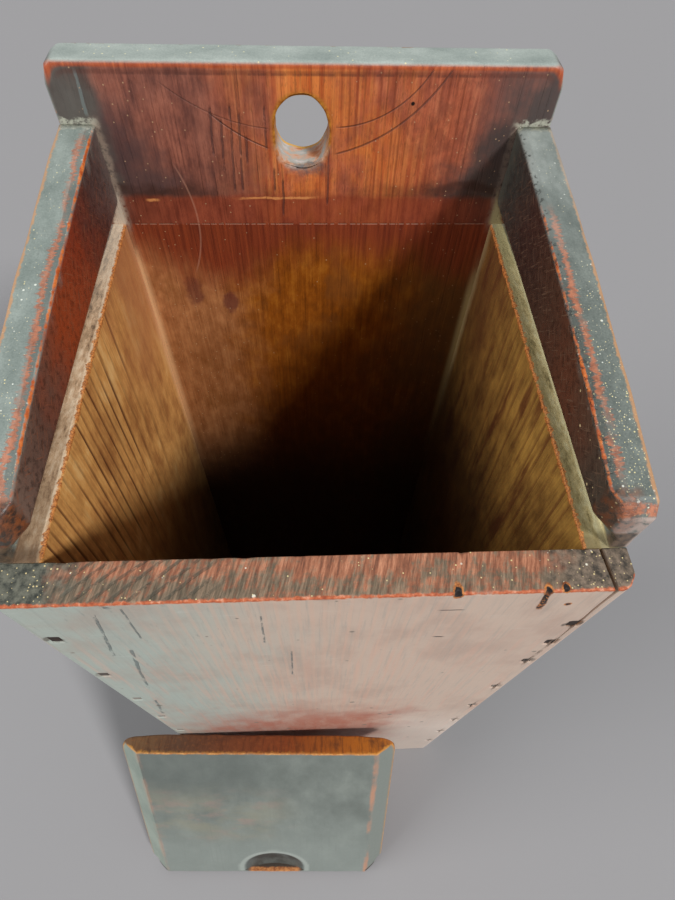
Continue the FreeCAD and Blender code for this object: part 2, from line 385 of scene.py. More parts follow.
f = Finish("bare_bottom_pine")
late = f.rings((20, -140, 0), 4.2, 0.0, 5.0, 3.0)
fibre = f.noise(0.7, (30, 1, 1), 3.0, 0.6)
tone = f.ramp(f.line(fibre, 0.35, f.times(late, 0.65)), (0.1, (134, 97, 58)), (0.55, (112, 76, 42)),
              (0.95, (70, 42, 22)))
tone = f.stain(tone, (58, 40, 27), f.patches(0.45, 0.75, 24, (1, 1, 1), 4.0, 0.6, 5.0))
bottom_pine = f.dress(tone, f.line(fibre, 0.2, 0.62), fibre, 0.15)

x, y = np.meshgrid(stations(-WELL_X, WELL_X, 10), stations(-WELL_Y, WELL_Y, 10))
sheets = [np.stack([x, y, np.full_like(x, z)], axis=-1) for z in (BOARD, 0.0)]
points, faces = board(*sheets, (0.5, 0.6))
made("bottom", points, faces, "box", "bottom_board", "bare_pine", bottom_pine)


# ---------------------------------------------------------------------------
# The two side boards: half-inch pine with a groove ploughed along the inside for
# the lid. Above the groove the board goes on as a lip that rises to the back.

LIP_FRONT, LIP_BACK, LIP_BOW = 21.0, 39.0, 1.8          # heights above the ledge, and the arch's rise
GROOVE_DEEP, GROOVE_ROOT, GROOVE_MOUTH = 7.0, 4.63, 9.76
NOSE_LONG, NOSE_THIN = 6.0, 3.8                         # the lip's front end thins by this over that length
DENT = (1.8, 2.5, 0.75)                                 # half sizes and depth of the dent round a nail head


def bent(corners, reaches, runs, steps=4):
    """A line through corners, given as rows of points, whose inner corners are rolled over by their reach.

    Each run is divided at the given shares of its length; each corner follows (1-t)^2 A + 2t(1-t) C + t^2 B.
    """
    line, start = [], corners[:, 0]
    t = (np.arange(steps + 1) / steps)[None, :, None]
    for k, shares in enumerate(runs):
        corner = corners[:, k + 1]
        end = corner
        last = k == len(runs) - 1
        if not last:
            reach = reaches[k][:, None]
            end = corner + unit(corners[:, k] - corner) * reach
            leave = corner + unit(corners[:, k + 2] - corner) * reach
        line.append(start[:, None] + (end - start)[:, None] * shares[None, :, None])
        if not last:
            curve = (1 - t) ** 2 * end[:, None] + 2 * t * (1 - t) * corner[:, None] + t ** 2 * leave[:, None]
            line.append(curve[:, 1:-1])
            start = leave
    return np.concatenate(line, axis=1)


def sunk(a, b, centres, half_a, half_b, depth):
    """Depth of the dents that the nail heads lie in, one round each centre, with steep sides."""
    total = np.zeros_like(a)
    for ca, cb in centres:
        outside_a = smooth(np.abs(a - ca), half_a, half_a + 0.6)
        outside_b = smooth(np.abs(b - cb), half_b, half_b + 0.6)
        total = np.maximum(total, depth * (1 - outside_a) * (1 - outside_b))
    return total


def lip_height(y, nose=4.0):
    """Height of the lip's top above the ledge: a low arch from front to back, rolled down at the nose."""
    s = (y + WELL_Y) / (2 * WELL_Y)
    d = np.clip(nose - (y + WELL_Y), 0, nose)
    arch = LIP_FRONT + (LIP_BACK - LIP_FRONT) * s + 4 * LIP_BOW * s * (1 - s)
    return arch - (nose - np.sqrt(nose ** 2 - d ** 2))


def lip_face(y):
    """Where the lip's inner face stands: flush with the wall, then straight outwards over the nose."""
    return WELL_X + NOSE_THIN * np.clip((NOSE_LONG - WELL_Y - y) / NOSE_LONG, 0, 1)


def wall_wood(f, above, fibre, side, seed, shades):
    """The amber wall inside, whose year rings show as thin dark lines towards the front."""
    patch = f.noise(22, (1, 1, 2.6), 4.0, 0.6, seed + 2)
    mottle = f.line(fibre, 0.2, f.times(patch, 0.4))
    mottle = f.line(f.noise(7, (1, 1, 1.8), 5.0, 0.65, seed + 2.7), 0.4, mottle)
    wall = f.ramp(mottle, (0.4, shades.wall_dark), (0.53, shades.wall), (0.66, shades.wall_light))
    late = f.rings((side * 185, 62, 0), shades.ring, 0.02, 5.0, seed)
    line = f.times(f.rise(late, 0.62, 0.9), f.rise(f.y, 66, 5),
                   f.patches(0.35, 0.6, 9, (1, 1, 8), 2.0, 0.5, seed + 9))
    line = f.times(line, f.ragged(f.z, 210, 320, 90, 20, seed + 2.2), shades.lines)
    wall = f.stain(wall, shades.line, line, 0.9)
    streak = f.patches(0.52, 0.68, 9, (1, 1, 6), 4.0, 0.6, seed + 8)
    wall = f.stain(wall, shades.line, streak, shades.streak)
    # dust in the back corner, painted lighter as a soft highlight down it
    corner = f.times(f.ragged(f.y, 64.5, 70.5, 5, 14, seed + 7), f.rise(f.z, 110, 320))
    wall = f.stain(wall, shades.corner, corner, 0.9)
    russet = f.times(f.ragged(f.y, 12, 56, 60, 26, seed + 5.1), f.rise(f.z, 270, 330), 0.65)
    wall = f.stain(wall, shades.russet, russet)
    # painted shade: the wall darkens low down along a slanting line, as the front board's shadow falls, less
    # so at the front
    deep = f.shaken(f.line(f.y, shades.slope, above), 30, 26, seed + 2.4)
    deep = f.times(f.rise(deep, *shades.deep), f.line(f.rise(f.y, -70, 0), 0.6, 0.4))
    wall = f.stain(wall, (40, 28, 20), deep, shades.dirt)
    return wall, line


def lip_varnish(f, fine, seed, shades):
    """The lip's varnished inner face, hairy with slanting brush marks and speckled with dust."""
    along = f.shaken(f.line(f.y, 1 / (2 * WELL_Y), 0.5), 0.3, 13, seed + 4)
    lip = f.ramp(along, *shades.lip)
    lip = f.stain(lip, (34, 22, 20), f.rise(fine, 0.46, 0.66), 0.5)
    tilted = f.node("CombineXYZ", {0: f.x, 1: f.line(f.z, 0.9, f.y), 2: f.line(f.y, -0.9, f.z)})
    hairs = f.patches(0.6, 0.68, 0.6, (1, 14, 1), 2.0, 0.5, seed + 6.2, tilted.outputs[0])
    hairs = f.most(hairs, f.patches(0.62, 0.7, 0.7, (1, 1, 14), 2.0, 0.5, seed + 4.2, tilted.outputs[0]))
    lip = f.stain(lip, shades.hair, hairs, 0.6)
    lip = f.stain(lip, shades.lip_back, f.ragged(f.y, 60, 72, 9, 7, seed + 8.1), 0.8)
    dense = f.line(f.rise(f.y, 30, -60), 0.3, 0.03)
    lip = f.stain(lip, (216, 196, 148), f.specks(1.9, dense, seed))
    return lip


def ledge_dust(f, across, seed, shades):
    """The groove's floor, where the lid has rubbed dust into rough pine."""
    rough_wood = f.noise(1.5, (1, 2.2, 1), 5.0, 0.7, seed + 5)
    ledge = f.ramp(f.line(rough_wood, 0.5, f.times(f.noise(6, (0.5, 2.5, 1), 4.0, 0.6, seed + 5.2), 0.5)),
                   (0.38, shades.ledge_dark), (0.5, shades.ledge), (0.62, shades.ledge_light))
    ledge = f.stain(ledge, shades.ledge_dark, f.ragged(f.y, -5, -60, 40, 9, seed + 5.4), shades.ledge_worn)
    # a painted highlight strip along the ledge
    ledge = f.stain(ledge, shades.ledge_light,
                    f.near(f.shaken(across, 1.2, 6, seed + 5.6), *shades.ledge_strip, 0.6), 0.8)
    ledge = f.stain(ledge, shades.ledge_dark, f.ragged(across, *shades.shaded, 4, 4, seed + 5.9), 0.75)
    ledge = f.stain(ledge, shades.ledge_back, f.rise(f.y, 5, 70), 0.55)
    ledge = f.stain(ledge, shades.ledge_dark, f.ragged(f.y, -64, -68, 4, 3, seed + 6.9), 0.7)
    ledge = f.stain(ledge, shades.lip_back,
                    f.ragged(f.line(f.y, 0.035, across), 7.0, 7.6, 0.8, 3, seed + 5.8), 0.8)
    return ledge, rough_wood


def side_paint(f, across, above, textures, salmon, from_arris, seed, shades):
    """Grey-green paint outside and on top, speckled and rubbed through in a second line beside the arris."""
    fine, tiny, fibre = textures
    below_top = f.mark("below_top")
    mist = f.noise(8, (1, 1.8, 5), 5.0, 0.62, seed + 6)
    paint = f.ramp(f.add(f.times(mist, 0.65), f.times(tiny, 0.35)), (0.32, shades.paint_dark),
                   (0.5, shades.paint), (0.68, shades.paint_light))
    paint = f.stain(paint, shades.paint_dark, f.rise(fibre, 0.54, 0.7), f.rise(below_top, 1, 4), 0.4)
    dense = f.times(f.line(f.rise(f.y, 20, -70), shades.specks, 0.1), f.rise(below_top, 9, 3))
    dense = f.math("MAXIMUM", dense, 0.05)
    paint = f.stain(paint, (226, 214, 160), f.specks(0.85, dense, seed + 2))
    paint = f.stain(paint, (222, 226, 214), f.specks(1.5, f.times(dense, 0.5), seed + 3.3))
    paint = f.stain(paint, (212, 206, 176), f.specks(0.7, dense, seed + 4.3))
    on_top = f.times(f.less(f.mark("lip")), f.rise(from_arris, 0.3, 0.8))
    spiky = f.noise(1.5, (2.5, 0.6, 1), 4.0, 0.65, seed + 4.5)
    reach = f.line(f.minus(spiky, 0.5), 6.0, from_arris)
    reach = f.shaken(reach, 3.0, 11, seed + 5.5)
    second = f.times(f.near(reach, shades.second, 0.45, 0.9), f.rise(f.y, *shades.second_ends), on_top)
    second = f.times(second, f.patches(0.3, 0.5, 7, (1, 3, 1), 3.0, 0.6, seed + 2.6), 0.8)
    paint = f.stain(paint, (66, 66, 60), f.near(from_arris, 1.7, 0.8, 0.4), on_top, 0.5)
    paint = f.stain(paint, salmon, second)
    outer = f.add(f.minus(BOARD, across), below_top)
    outer = f.times(f.ragged(outer, 1.5, 0.9, 2.0, 2, seed + 6.5), f.rise(above, 12, 14))
    paint = f.stain(paint, (198, 146, 100), outer, 0.8)
    end = f.times(f.rise(f.y, -70.3, -70.8), f.rise(above, 0, 1))
    paint = f.stain(paint, shades.end, end, f.most(f.rise(fine, 0.3, 0.5), f.rise(above, 9, 6)))
    paint = f.stain(paint, f.ramp(mist, (0.36, (140, 147, 141)), (0.64, (176, 182, 176))),
                    f.ragged(f.y, -10, 60, 40, 20, seed + 6.7), shades.pale_back)
    return paint, second


def side_finish(name, side, shades):
    """One side board's material: wall, lip, ledge and paint, then the wear along arrises and front end."""
    f = Finish(name)
    seed = 3.0 + 2 * side
    across = f.minus(f.size(f.x), WELL_X)
    above = f.minus(f.z, LEDGE)
    fine = f.noise(2.2, (1, 1, 1), 5.0, 0.65, seed)
    tiny = f.noise(0.6, (1, 1, 1), 3.0, 0.6, seed + 1)
    fibre = f.noise(0.8, (1, 1, 26), 4.0, 0.6, seed + 3)
    salmon = f.ramp(fine, (0.35, (154, 84, 54)), (0.6, (200, 122, 86)))
    from_arris = f.mark("from_arris")
    wall, line = wall_wood(f, above, fibre, side, seed, shades)
    lip = lip_varnish(f, fine, seed, shades)
    ledge, rough_wood = ledge_dust(f, across, seed, shades)
    paint, second = side_paint(f, across, above, (fine, tiny, fibre), salmon, from_arris, seed, shades)
    colour = f.blend(f.mark("inside"), paint, wall)
    colour = f.stain(colour, lip, f.mark("lip"))
    colour = f.stain(colour, ledge, f.mark("ledge"))
    edge = f.math("SQRT", f.add(f.times(across, across), f.times(above, above)))
    chips = f.ragged(f.shaken(edge, 3.5, 2.6, seed + 7.5), 1.0, 0.6, 2.0, 0.8, seed + 8.5)
    colour = f.stain(colour, f.ramp(tiny, (0.35, (132, 68, 30)), (0.62, (230, 148, 76))), chips, 0.9)
    bright = f.ragged(f.shaken(from_arris, 0.9, 1.6, seed + 9.5), 0.85, 0.4, 1.2, 9, seed + 9.7)
    bright = f.times(bright, f.rise(f.y, *shades.bright_ends), f.rise(above, 10, 12))
    colour = f.stain(colour, f.ramp(fine, (0.4, (182, 82, 30)), (0.62, (226, 128, 58))), bright)
    tip = f.times(f.near(f.shaken(f.y, 2.4, 2.0, seed + 1.7), -69.2, 0.7, 0.6), f.less(f.mark("lip")),
                  f.rise(above, 12, 15))
    colour = f.stain(colour, salmon, tip, f.rise(fine, 0.34, 0.5), 0.85)
    nick = f.times(f.patches(0.55, 0.62, 1.9, (1, 1, 1), 4.0, 0.65, seed + 3.7),
                   f.rise(from_arris, 2.2, 1.2), f.rise(above, 10, 12), shades.nicks)
    colour = f.stain(colour, (52, 56, 52), nick)
    nose = f.times(f.ragged(f.y, -63, -66, 4, 4, seed + 0.7), f.ragged(across, 9, 6, 4, 4, seed + 1.1),
                   f.rise(above, 8, 11))
    colour = f.stain(colour, f.ramp(fine, (0.4, (52, 38, 32)), (0.6, (132, 74, 40))), nose, shades.nose)
    heap = f.times(f.near(f.shaken(f.y, 9, 3, seed + 2.9), 71, 0.8, 2.6), f.rise(above, -1, 1),
                   f.rise(f.less(f.mark("lip")), 0.1, 0.6), f.rise(across, 11.8, 11.2))
    colour = f.stain(colour, shades.heap, heap, f.rise(fine, 0.34, 0.56), 0.75)
    under = f.times(f.rise(across, 11.5, 10.5), f.between(above, 0.2, 9.5, 0.8), f.rise(f.y, -66, -69))
    colour = f.stain(colour, f.ramp(fine, (0.4, (44, 36, 30)), (0.62, (104, 82, 60))), under, 0.85)
    rough = f.add(0.42, f.times(fine, 0.2), f.times(f.mark("ledge"), 0.3), f.times(f.mark("lip"), -0.2))
    height = f.add(f.times(fine, 0.35), f.times(tiny, 0.25), f.times(fibre, 0.4, f.mark("inside")),
                   f.times(line, -0.5, f.mark("inside")), f.times(rough_wood, 0.8, f.mark("ledge")),
                   f.times(nick, -0.8), f.times(second, -0.3))
    return f.dress(colour, rough, height, 0.3)


SIDE_SHADES = {
    -1: SimpleNamespace(
        # the wall: its wood, its year rings (how far apart and how strong), and the painted shade low down
        wall=(232, 170, 96), wall_dark=(182, 122, 66), wall_light=(254, 208, 138), russet=(188, 118, 78),
        corner=(240, 190, 138), ring=3.0, line=(98, 56, 30), lines=1.0, streak=0.2,
        slope=0.45, deep=(-70, -150), dirt=0.65,
        # the lip's inner face, from its front end to its back end
        lip=((0.05, (132, 106, 92)), (0.26, (110, 80, 68)), (0.44, (160, 68, 36)), (0.66, (144, 60, 36)),
             (0.8, (84, 54, 48)), (0.95, (98, 80, 76))), lip_back=(104, 88, 84), hair=(150, 92, 66),
        # the ledge, its worn front, its painted highlight strip, its shaded edge and the dust heaped at its
        # back end
        ledge=(212, 176, 138), ledge_dark=(112, 86, 62), ledge_light=(248, 222, 188),
        ledge_back=(236, 220, 198), ledge_worn=0.45, ledge_strip=(0.9, 0.3), shaded=(3.5, 8.5),
        heap=(206, 206, 190),
        # the paint, its specks and nicks, and the bare wood along the arrises and on the front end
        paint=(134, 144, 137), paint_dark=(110, 121, 115), paint_light=(158, 168, 160), pale_back=0.1,
        specks=0.22, nicks=0.0, second=2.9, second_ends=(70, 58), bright_ends=(72, 66),
        end=(112, 92, 72), nose=0.9),
    1: SimpleNamespace(
        wall=(162, 122, 58), wall_dark=(114, 80, 36), wall_light=(202, 156, 74), russet=(92, 50, 30),
        corner=(232, 212, 154), ring=3.4, line=(92, 44, 24), lines=0.6, streak=0.8,
        slope=0.2, deep=(-20, -110), dirt=0.85,
        lip=((0.05, (80, 70, 60)), (0.3, (100, 62, 46)), (0.5, (78, 56, 46)), (0.7, (60, 46, 42)),
             (0.9, (60, 60, 56))), lip_back=(84, 86, 78), hair=(120, 96, 78),
        ledge=(228, 208, 150), ledge_dark=(132, 118, 76), ledge_light=(250, 240, 192),
        ledge_back=(226, 216, 158), ledge_worn=0.1, ledge_strip=(6.0, 0.7), shaded=(5.6, 1.6),
        heap=(190, 190, 170),
        paint=(104, 111, 105), paint_dark=(78, 87, 82), paint_light=(130, 137, 129), pale_back=0.6,
        specks=0.6, nicks=0.7, second=3.3, second_ends=(34, 22), bright_ends=(34, 26),
        end=(176, 158, 148), nose=0.5),
}

for side, name in ((-1, "left_side"), (1, "right_side")):
    look = side_finish(name + "_paint_and_varnish", side, SIDE_SHADES[side])
    y = stations(-WELL_Y, WELL_Y, 1.6, [(place, 3.2, 0.5) for place in (0, -38, 38)])
    y = y[(np.abs(y) > WELL_Y - 0.1) | (np.abs(y) < WELL_Y - 2.4)]
    heights = LEDGE + lip_height(y) + 0.25 * ripple(y, 0 * y, 30, 11 + side)
    face = lip_face(y)
    level = np.full_like(y, LEDGE)
    ones = np.ones_like(y)
    wall, root = WELL_X * ones, (WELL_X + GROOVE_DEEP) * ones
    corners = ((wall, 0 * ones), (wall, level), (root, level), (root, level + GROOVE_ROOT),
               (face, level + GROOVE_MOUTH), (face, heights))
    corners = np.stack([np.stack(pair, axis=-1) for pair in corners], axis=1)
    chip = np.clip(ripple(y, 0 * y, 5, 21 + side) + 0.6 * ripple(y, 0 * y, 2.6, 31 + side) - 0.2, 0, 2)
    reaches = (0.45 + 0.4 * chip, 0.4 * ones, 0.5 * ones, 1.6 * ones)
    wall_run = stations(0, LEDGE, 10, [(BOTTOM_NAIL_Z, 3.4, 0.6)],
                        LEDGE * (1 - np.linspace(0.004, 0.12, 18))) / LEDGE
    lip_run = np.append(np.linspace(0, 0.78, 10), 1.0)
    runs = (wall_run, np.linspace(0, 1, 7), np.linspace(0, 1, 4), np.linspace(0, 1, 7), lip_run)
    profile = bent(corners, reaches, runs)
    u = np.maximum.accumulate(profile[..., 1] + 0.002 * np.arange(profile.shape[1]), axis=1)
    u = u * (heights / u[:, -1])[:, None]
    rows = np.broadcast_to(y[:, None], u.shape)
    inner = np.stack([profile[..., 0], rows, profile[..., 1]], axis=-1)
    outer = np.stack([np.full_like(u, HALF_WIDTH), rows, u], axis=-1)
    outer[..., 0] -= sunk(rows, u, [(place, BOTTOM_NAIL_Z) for place in BOTTOM_NAILS_Y], 1.9, 2.6, DENT[2])
    i, j = loop((0, u.shape[0] - 1), (0, u.shape[1] - 1))
    ring = inner[i, j]
    above = smooth(ring[:, 2], LEDGE + 1, LEDGE + 5)
    worn = 0.4 + above * np.clip(0.9 + 0.3 * ripple(ring[:, 1], ring[:, 2], 9, 41 + side), 0.2, 1.5)
    points, faces = board(inner, outer, (worn, 0.4 + 0.5 * above), steps=5)
    px, py, pz = points.T
    to_top = LEDGE + lip_height(py, 0.0001) - pz
    from_arris = np.hypot(np.maximum(px - lip_face(py), 0), np.maximum(to_top, 0))
    in_groove = px < WELL_X + GROOVE_DEEP + 0.5
    inside = (px < WELL_X + 1.5) * (pz < LEDGE + 0.5) * 1.0
    on_lip = in_groove * (pz > LEDGE + 1.5) * smooth(to_top, 0.3, 1.2) * (py > 1.0 - WELL_Y)
    on_lip = on_lip * (px < lip_face(py) + 1.2 + 4 * (pz < LEDGE + 10))
    on_ledge = in_groove * (np.abs(pz - LEDGE) < 0.6) * smooth(px, WELL_X + 0.1, WELL_X + 0.9)
    points[:, 0] *= side
    made(name + "_board", points, faces, "box", name, "painted_pine", look, inside=inside, lip=on_lip,
         ledge=on_ledge, from_arris=np.minimum(from_arris, 15.0), below_top=np.clip(to_top, 0, 15))


# ---------------------------------------------------------------------------
# The front board: pine nailed over the sides' front edges. Its ends and top have
# worn round, beetles have bored its top edge, and its right end has split.

NAIL_X, NAIL_PITCH = HALF_WIDTH - 7, 46.5
FRONT_NAILS = [LEDGE - 30 - NAIL_PITCH * row for row in range(7)]
REPAIR_NAIL = LEDGE - 50.7
SPLIT_HALF, SPLIT_LONG = 0.62, 66.0
FRONT_CORNER = 5.0


def front_turn(x):
    """How far the face has gone back at x: nothing on the flat, then a quarter round at the corner."""
    past = np.clip(np.abs(x) - HALF_WIDTH + FRONT_CORNER, 0, FRONT_CORNER - 0.1)
    return FRONT_CORNER - np.sqrt(FRONT_CORNER ** 2 - past ** 2)


close_x = [(-NAIL_X, 3.2, 0.5), (NAIL_X, 3.2, 0.5), (36.6, 1.6, 0.3), (60.8, 1.8, 0.3), (65.4, 1.5, 0.3)]
close_x += [(place, 2.6, 0.5) for place in (0, -40, 40)]
close_z = [(height, 3.6, 0.6) for height in FRONT_NAILS + [REPAIR_NAIL]] + [(BOTTOM_NAIL_Z, 3.0, 0.6)]
split = np.linspace(0.03, SPLIT_HALF, 17)
exact_x = np.concatenate([NAIL_X + split, NAIL_X - split, [NAIL_X, 1.8 - HALF_WIDTH, HALF_WIDTH - 1.8]])
exact_z = LEDGE - np.array([1.9, 2.9, 4.1, 5.4, 7.0, 9.0, 11.2, 13.6, 16.5, 20])
x, z = np.meshgrid(stations(-HALF_WIDTH, HALF_WIDTH, 3.0, close_x, exact_x),
                   stations(0, LEDGE, 8.0, close_z, exact_z))
gap = np.abs(x - NAIL_X) / SPLIT_HALF
z = np.where(gap < 1, z * (LEDGE - SPLIT_LONG * (1 - gap)) / LEDGE, z)
front = np.stack([x, front_turn(x) - HALF_DEPTH, z], axis=-1)
back = np.stack([x, np.full_like(x, -WELL_Y), z], axis=-1)
heads = [(s * NAIL_X, height) for s in (-1, 1) for height in FRONT_NAILS] + [(NAIL_X, REPAIR_NAIL)]
feet = [(place, BOTTOM_NAIL_Z) for place in BOTTOM_NAILS_X]
front[..., 1] += sunk(x, z, heads, *DENT)
front[..., 1] += sunk(x, z, feet, *DENT)
BORED = ((36.6, 2.2, 0.6, 1.2), (60.8, 6.0, 0.6, 1.2), (65.4, 1.4, 0.5, 0.8))
for hole_x, low, wide, deep in BORED:
    front[..., 1] += deep * np.exp(-((x - hole_x) / wide) ** 2 - np.clip(LEDGE - z, 0, 99) / low)
for sheet in (front, back):
    lean = 0.35 * ripple(sheet[..., 2], 0 * x, 34, 7) + 1.4 * smooth(-sheet[..., 1], WELL_Y, HALF_DEPTH) - 0.5
    lean = lean * np.clip(1 - np.abs(sheet[..., 0] - NAIL_X) / 3.2, 0, 1)
    sheet[..., 0] += lean * smooth(sheet[..., 2], LEDGE - 73, LEDGE - 58)
i, j = loop((0, x.shape[0] - 1), (0, x.shape[1] - 1))
ring = front[i, j]
on_top = ring[:, 2] > LEDGE - 1
in_split = (np.abs(x[i, j] - NAIL_X) < SPLIT_HALF + 0.02) & (ring[:, 2] > 200)
chips = np.clip(ripple(ring[:, 0], ring[:, 2], 3.2, 51) + 0.7 * ripple(ring[:, 0], ring[:, 2], 9, 52) - 0.5,
                0, 2)
worn_front = np.where(in_split, 0.08, np.clip(0.9 + 0.2 * ripple(ring[:, 0], ring[:, 2], 14, 53), 0.3, 1.5))
worn_back = np.where(in_split, 0.08, np.clip(0.35 + 0.5 * chips * on_top, 0.3, 1.4))
points, faces = board(front, back, (worn_front, worn_back), steps=4)
px, py, pz = points.T
front_arris = np.hypot(np.maximum(py + HALF_DEPTH - front_turn(px), 0), LEDGE - pz)
top_face = smooth(pz, LEDGE - 0.8, LEDGE - 0.1)
inside = smooth(py, -WELL_Y - 0.5, -WELL_Y - 0.1) * (1 - top_face)
torn = (np.abs(px - NAIL_X - 1) < 1.6) * (pz > LEDGE - 68) * (pz < LEDGE - 1.2)
torn = torn * (py > -HALF_DEPTH + 0.7) * (py < -WELL_Y - 0.3)

f = Finish("front_board_paint_and_wear")
fine = f.noise(2.0, (1, 1, 1), 5.0, 0.65, 2.0)
tiny = f.noise(0.6, (1, 1, 1), 3.0, 0.6, 1.0)
fibre = f.noise(0.8, (1, 1, 30), 4.0, 0.6, 3.0)
grain = f.noise(2.6, (1, 1, 22), 3.0, 0.6, 4.0)
cloud = f.noise(26, (1, 1, 1.6), 4.0, 0.6, 1.0)
# the face: thin paint, greener at the left and rubbed pink at the right, with a painted warm reflection of
# the lid low down
pink = f.ragged(f.x, -62, 10, 60, 30, 5.0)
pale = f.blend(pink, (172, 180, 170), (204, 180, 162))
pale = f.stain(pale, (172, 140, 124), f.rise(cloud, 0.46, 0.68), 0.45)
pale = f.stain(pale, (214, 168, 146), f.rise(grain, 0.5, 0.66), f.rise(f.z, 352, 300), 0.35)
pale = f.stain(pale, (146, 148, 142), f.rise(fibre, 0.5, 0.7), 0.28)
comb = f.comb(f.shaken(f.times(f.x, 1 / 3.4), 1.6, 16, 16.0, (1, 1, 8)))
comb = f.times(f.rise(comb, 0.24, 0.08), f.ragged(f.x, -58, -30, 50, 20, 17.0),
               f.ragged(f.x, 60, 30, 40, 20, 18.0))
pale = f.stain(pale, (216, 176, 152), comb, f.rise(f.z, 120, 240), 0.3)
scuffs = f.patches(0.6, 0.72, 1.1, (1, 1, 9), 4.0, 0.7, 19.0)
pale = f.stain(pale, (112, 122, 120), scuffs, f.rise(f.x, 10, -50), f.rise(f.z, 250, 330), 0.55)
pale = f.stain(pale, (214, 214, 206), f.patches(0.6, 0.72, 1.6, (9, 1, 1), 4.0, 0.7, 20.0), 0.25)
# a painted reflection: the lid's bare orange end, mirrored as a reddish band on the face above it
lid_reflection = f.times(f.near(f.shaken(f.z, 110, 30, 6.0), 130, 10, 84), f.ragged(f.x, 60, 24, 70, 24, 15.0),
               f.ragged(f.x, -94, -44, 60, 26, 29.0))
lid_reflection = f.times(lid_reflection, f.line(f.patches(0.36, 0.6, 9.0, (1, 1, 3), 4.0, 0.65, 30.0), 0.3, 0.7))
pale = f.stain(pale, (170, 98, 78), lid_reflection, 0.85)
pale = f.stain(pale, (150, 134, 122), f.rise(f.z, 70, 10), f.rise(f.x, 50, 20), 0.5)
pale = f.stain(pale, (226, 212, 200), f.ragged(f.z, 190, 110, 50, 30, 27.0),
               f.ragged(f.x, 26, 56, 16, 18, 28.0), 0.55)
row = f.minus(f.math("FRACT", f.line(f.z, 1 / NAIL_PITCH, 0.5 - FRONT_NAILS[0] / NAIL_PITCH)), 0.5)
row, column = f.times(row, NAIL_PITCH), f.minus(f.size(f.x), NAIL_X)
rust = f.math("SQRT", f.add(f.times(row, row), f.times(column, column)))
rust = f.times(f.ragged(f.shaken(rust, 5, 2.2, 25.0), 3.4, 2.2, 3, 5, 26.0), f.rise(f.z, 250, 310))
pale = f.stain(pale, (84, 72, 60), rust, 0.75)
pale = f.stain(pale, (132, 120, 106), f.specks(5.5, 0.1, 2.2))
gouges = f.most(f.scratch((-59.6, 350), (-66.5, 308), 0.3, 1.0),
                f.scratch((-51.4, 354), (-53, 327), 0.2, 2.0),
                f.scratch((-59.3, 314), (-63.7, 287), 0.4, 3.0),
                f.scratch((-63.7, 287), (-68, 255), 0.3, 4.0), f.scratch((-71, 231), (-75, 198), 0.35, 5.0),
                f.scratch((-16, 345), (-17, 318), 0.18, 6.0), f.scratch((-9, 306), (-10, 272), 0.18, 7.0),
                f.scratch((-56, 357), (-54.4, 355), 0.7, 8.0))
gouges = f.times(gouges, f.patches(0.38, 0.54, 2.2, (1, 1, 3), 4.0, 0.65, 24.0))
pale = f.stain(pale, (92, 104, 104), gouges, 0.75)
dashes = f.most(f.scratch((33.6, 345.6), (40.4, 345.2), 0.22, 9.0),
                f.scratch((36.4, 318.8), (39.4, 318.4), 0.35, 10.0))
pale = f.stain(pale, (52, 40, 34), dashes)
# the top edge: hand-worn strokes across it, olive paint left in patches, both ends dark and speckled
skewed = f.node("CombineXYZ", {0: f.line(f.y, -0.22, f.x), 1: f.y, 2: f.z}).outputs[0]
strokes = f.noise(1.0, (1, 9, 1), 4.0, 0.7, 8.0, skewed)
patches = f.noise(6.0, (2.3, 0.7, 1), 5.0, 0.65, 6.0)
red = f.ramp(strokes, (0.34, (114, 70, 50)), (0.48, (156, 98, 70)), (0.68, (206, 142, 108)))
front_half = f.rise(f.y, -74.5, -78.5)
left_half = f.rise(f.x, 8, -30)
weave = f.noise(1.6, (1.2, 3.5, 1), 4.0, 0.7, 7.0, skewed)
bias = f.add(f.times(patches, 0.45), f.times(weave, 0.6), f.times(front_half, 0.1),
             f.times(left_half, 0.05), f.times(strokes, 0.25))
olive = f.ramp(strokes, (0.36, (72, 72, 58)), (0.5, (104, 98, 80)), (0.66, (142, 126, 104)))
top = f.blend(f.times(f.rise(bias, 0.64, 0.8), 0.85), red, olive)
slant = f.line(f.y, -1.15, f.x)
hatch = f.comb(f.shaken(f.times(slant, 1 / 4.8), 0.8, 12, 9.0))
hatch = f.times(f.rise(hatch, 0.2, 0.1), f.rise(f.x, -18, -34), f.rise(f.x, -70, -62),
                f.rise(fine, 0.36, 0.5))
top = f.stain(top, (70, 68, 56), hatch, 0.6)
ends = f.ragged(f.size(f.add(f.x, 1.0)), 60, 70, 26, 8, 10.0)
left_end = f.ramp(fine, (0.36, (50, 54, 48)), (0.62, (112, 112, 98)))
right_end = f.ramp(fine, (0.36, (60, 54, 46)), (0.62, (136, 118, 100)))
top = f.stain(top, f.blend(f.rise(f.x, -1, 1), left_end, right_end), ends)
dense = f.line(ends, 0.5, 0.08)
top = f.stain(top, (226, 206, 150), f.specks(0.9, dense, 4.0))
top = f.stain(top, (232, 226, 206), f.specks(2.4, f.times(dense, 0.4), 9.0))
from_arris = f.mark("from_arris")
arris = f.ragged(from_arris, 1.0, 0.45, 1.8, 1.8, 5.0)
orange = f.ramp(fine, (0.34, (146, 64, 34)), (0.52, (190, 98, 56)), (0.68, (222, 160, 130)))
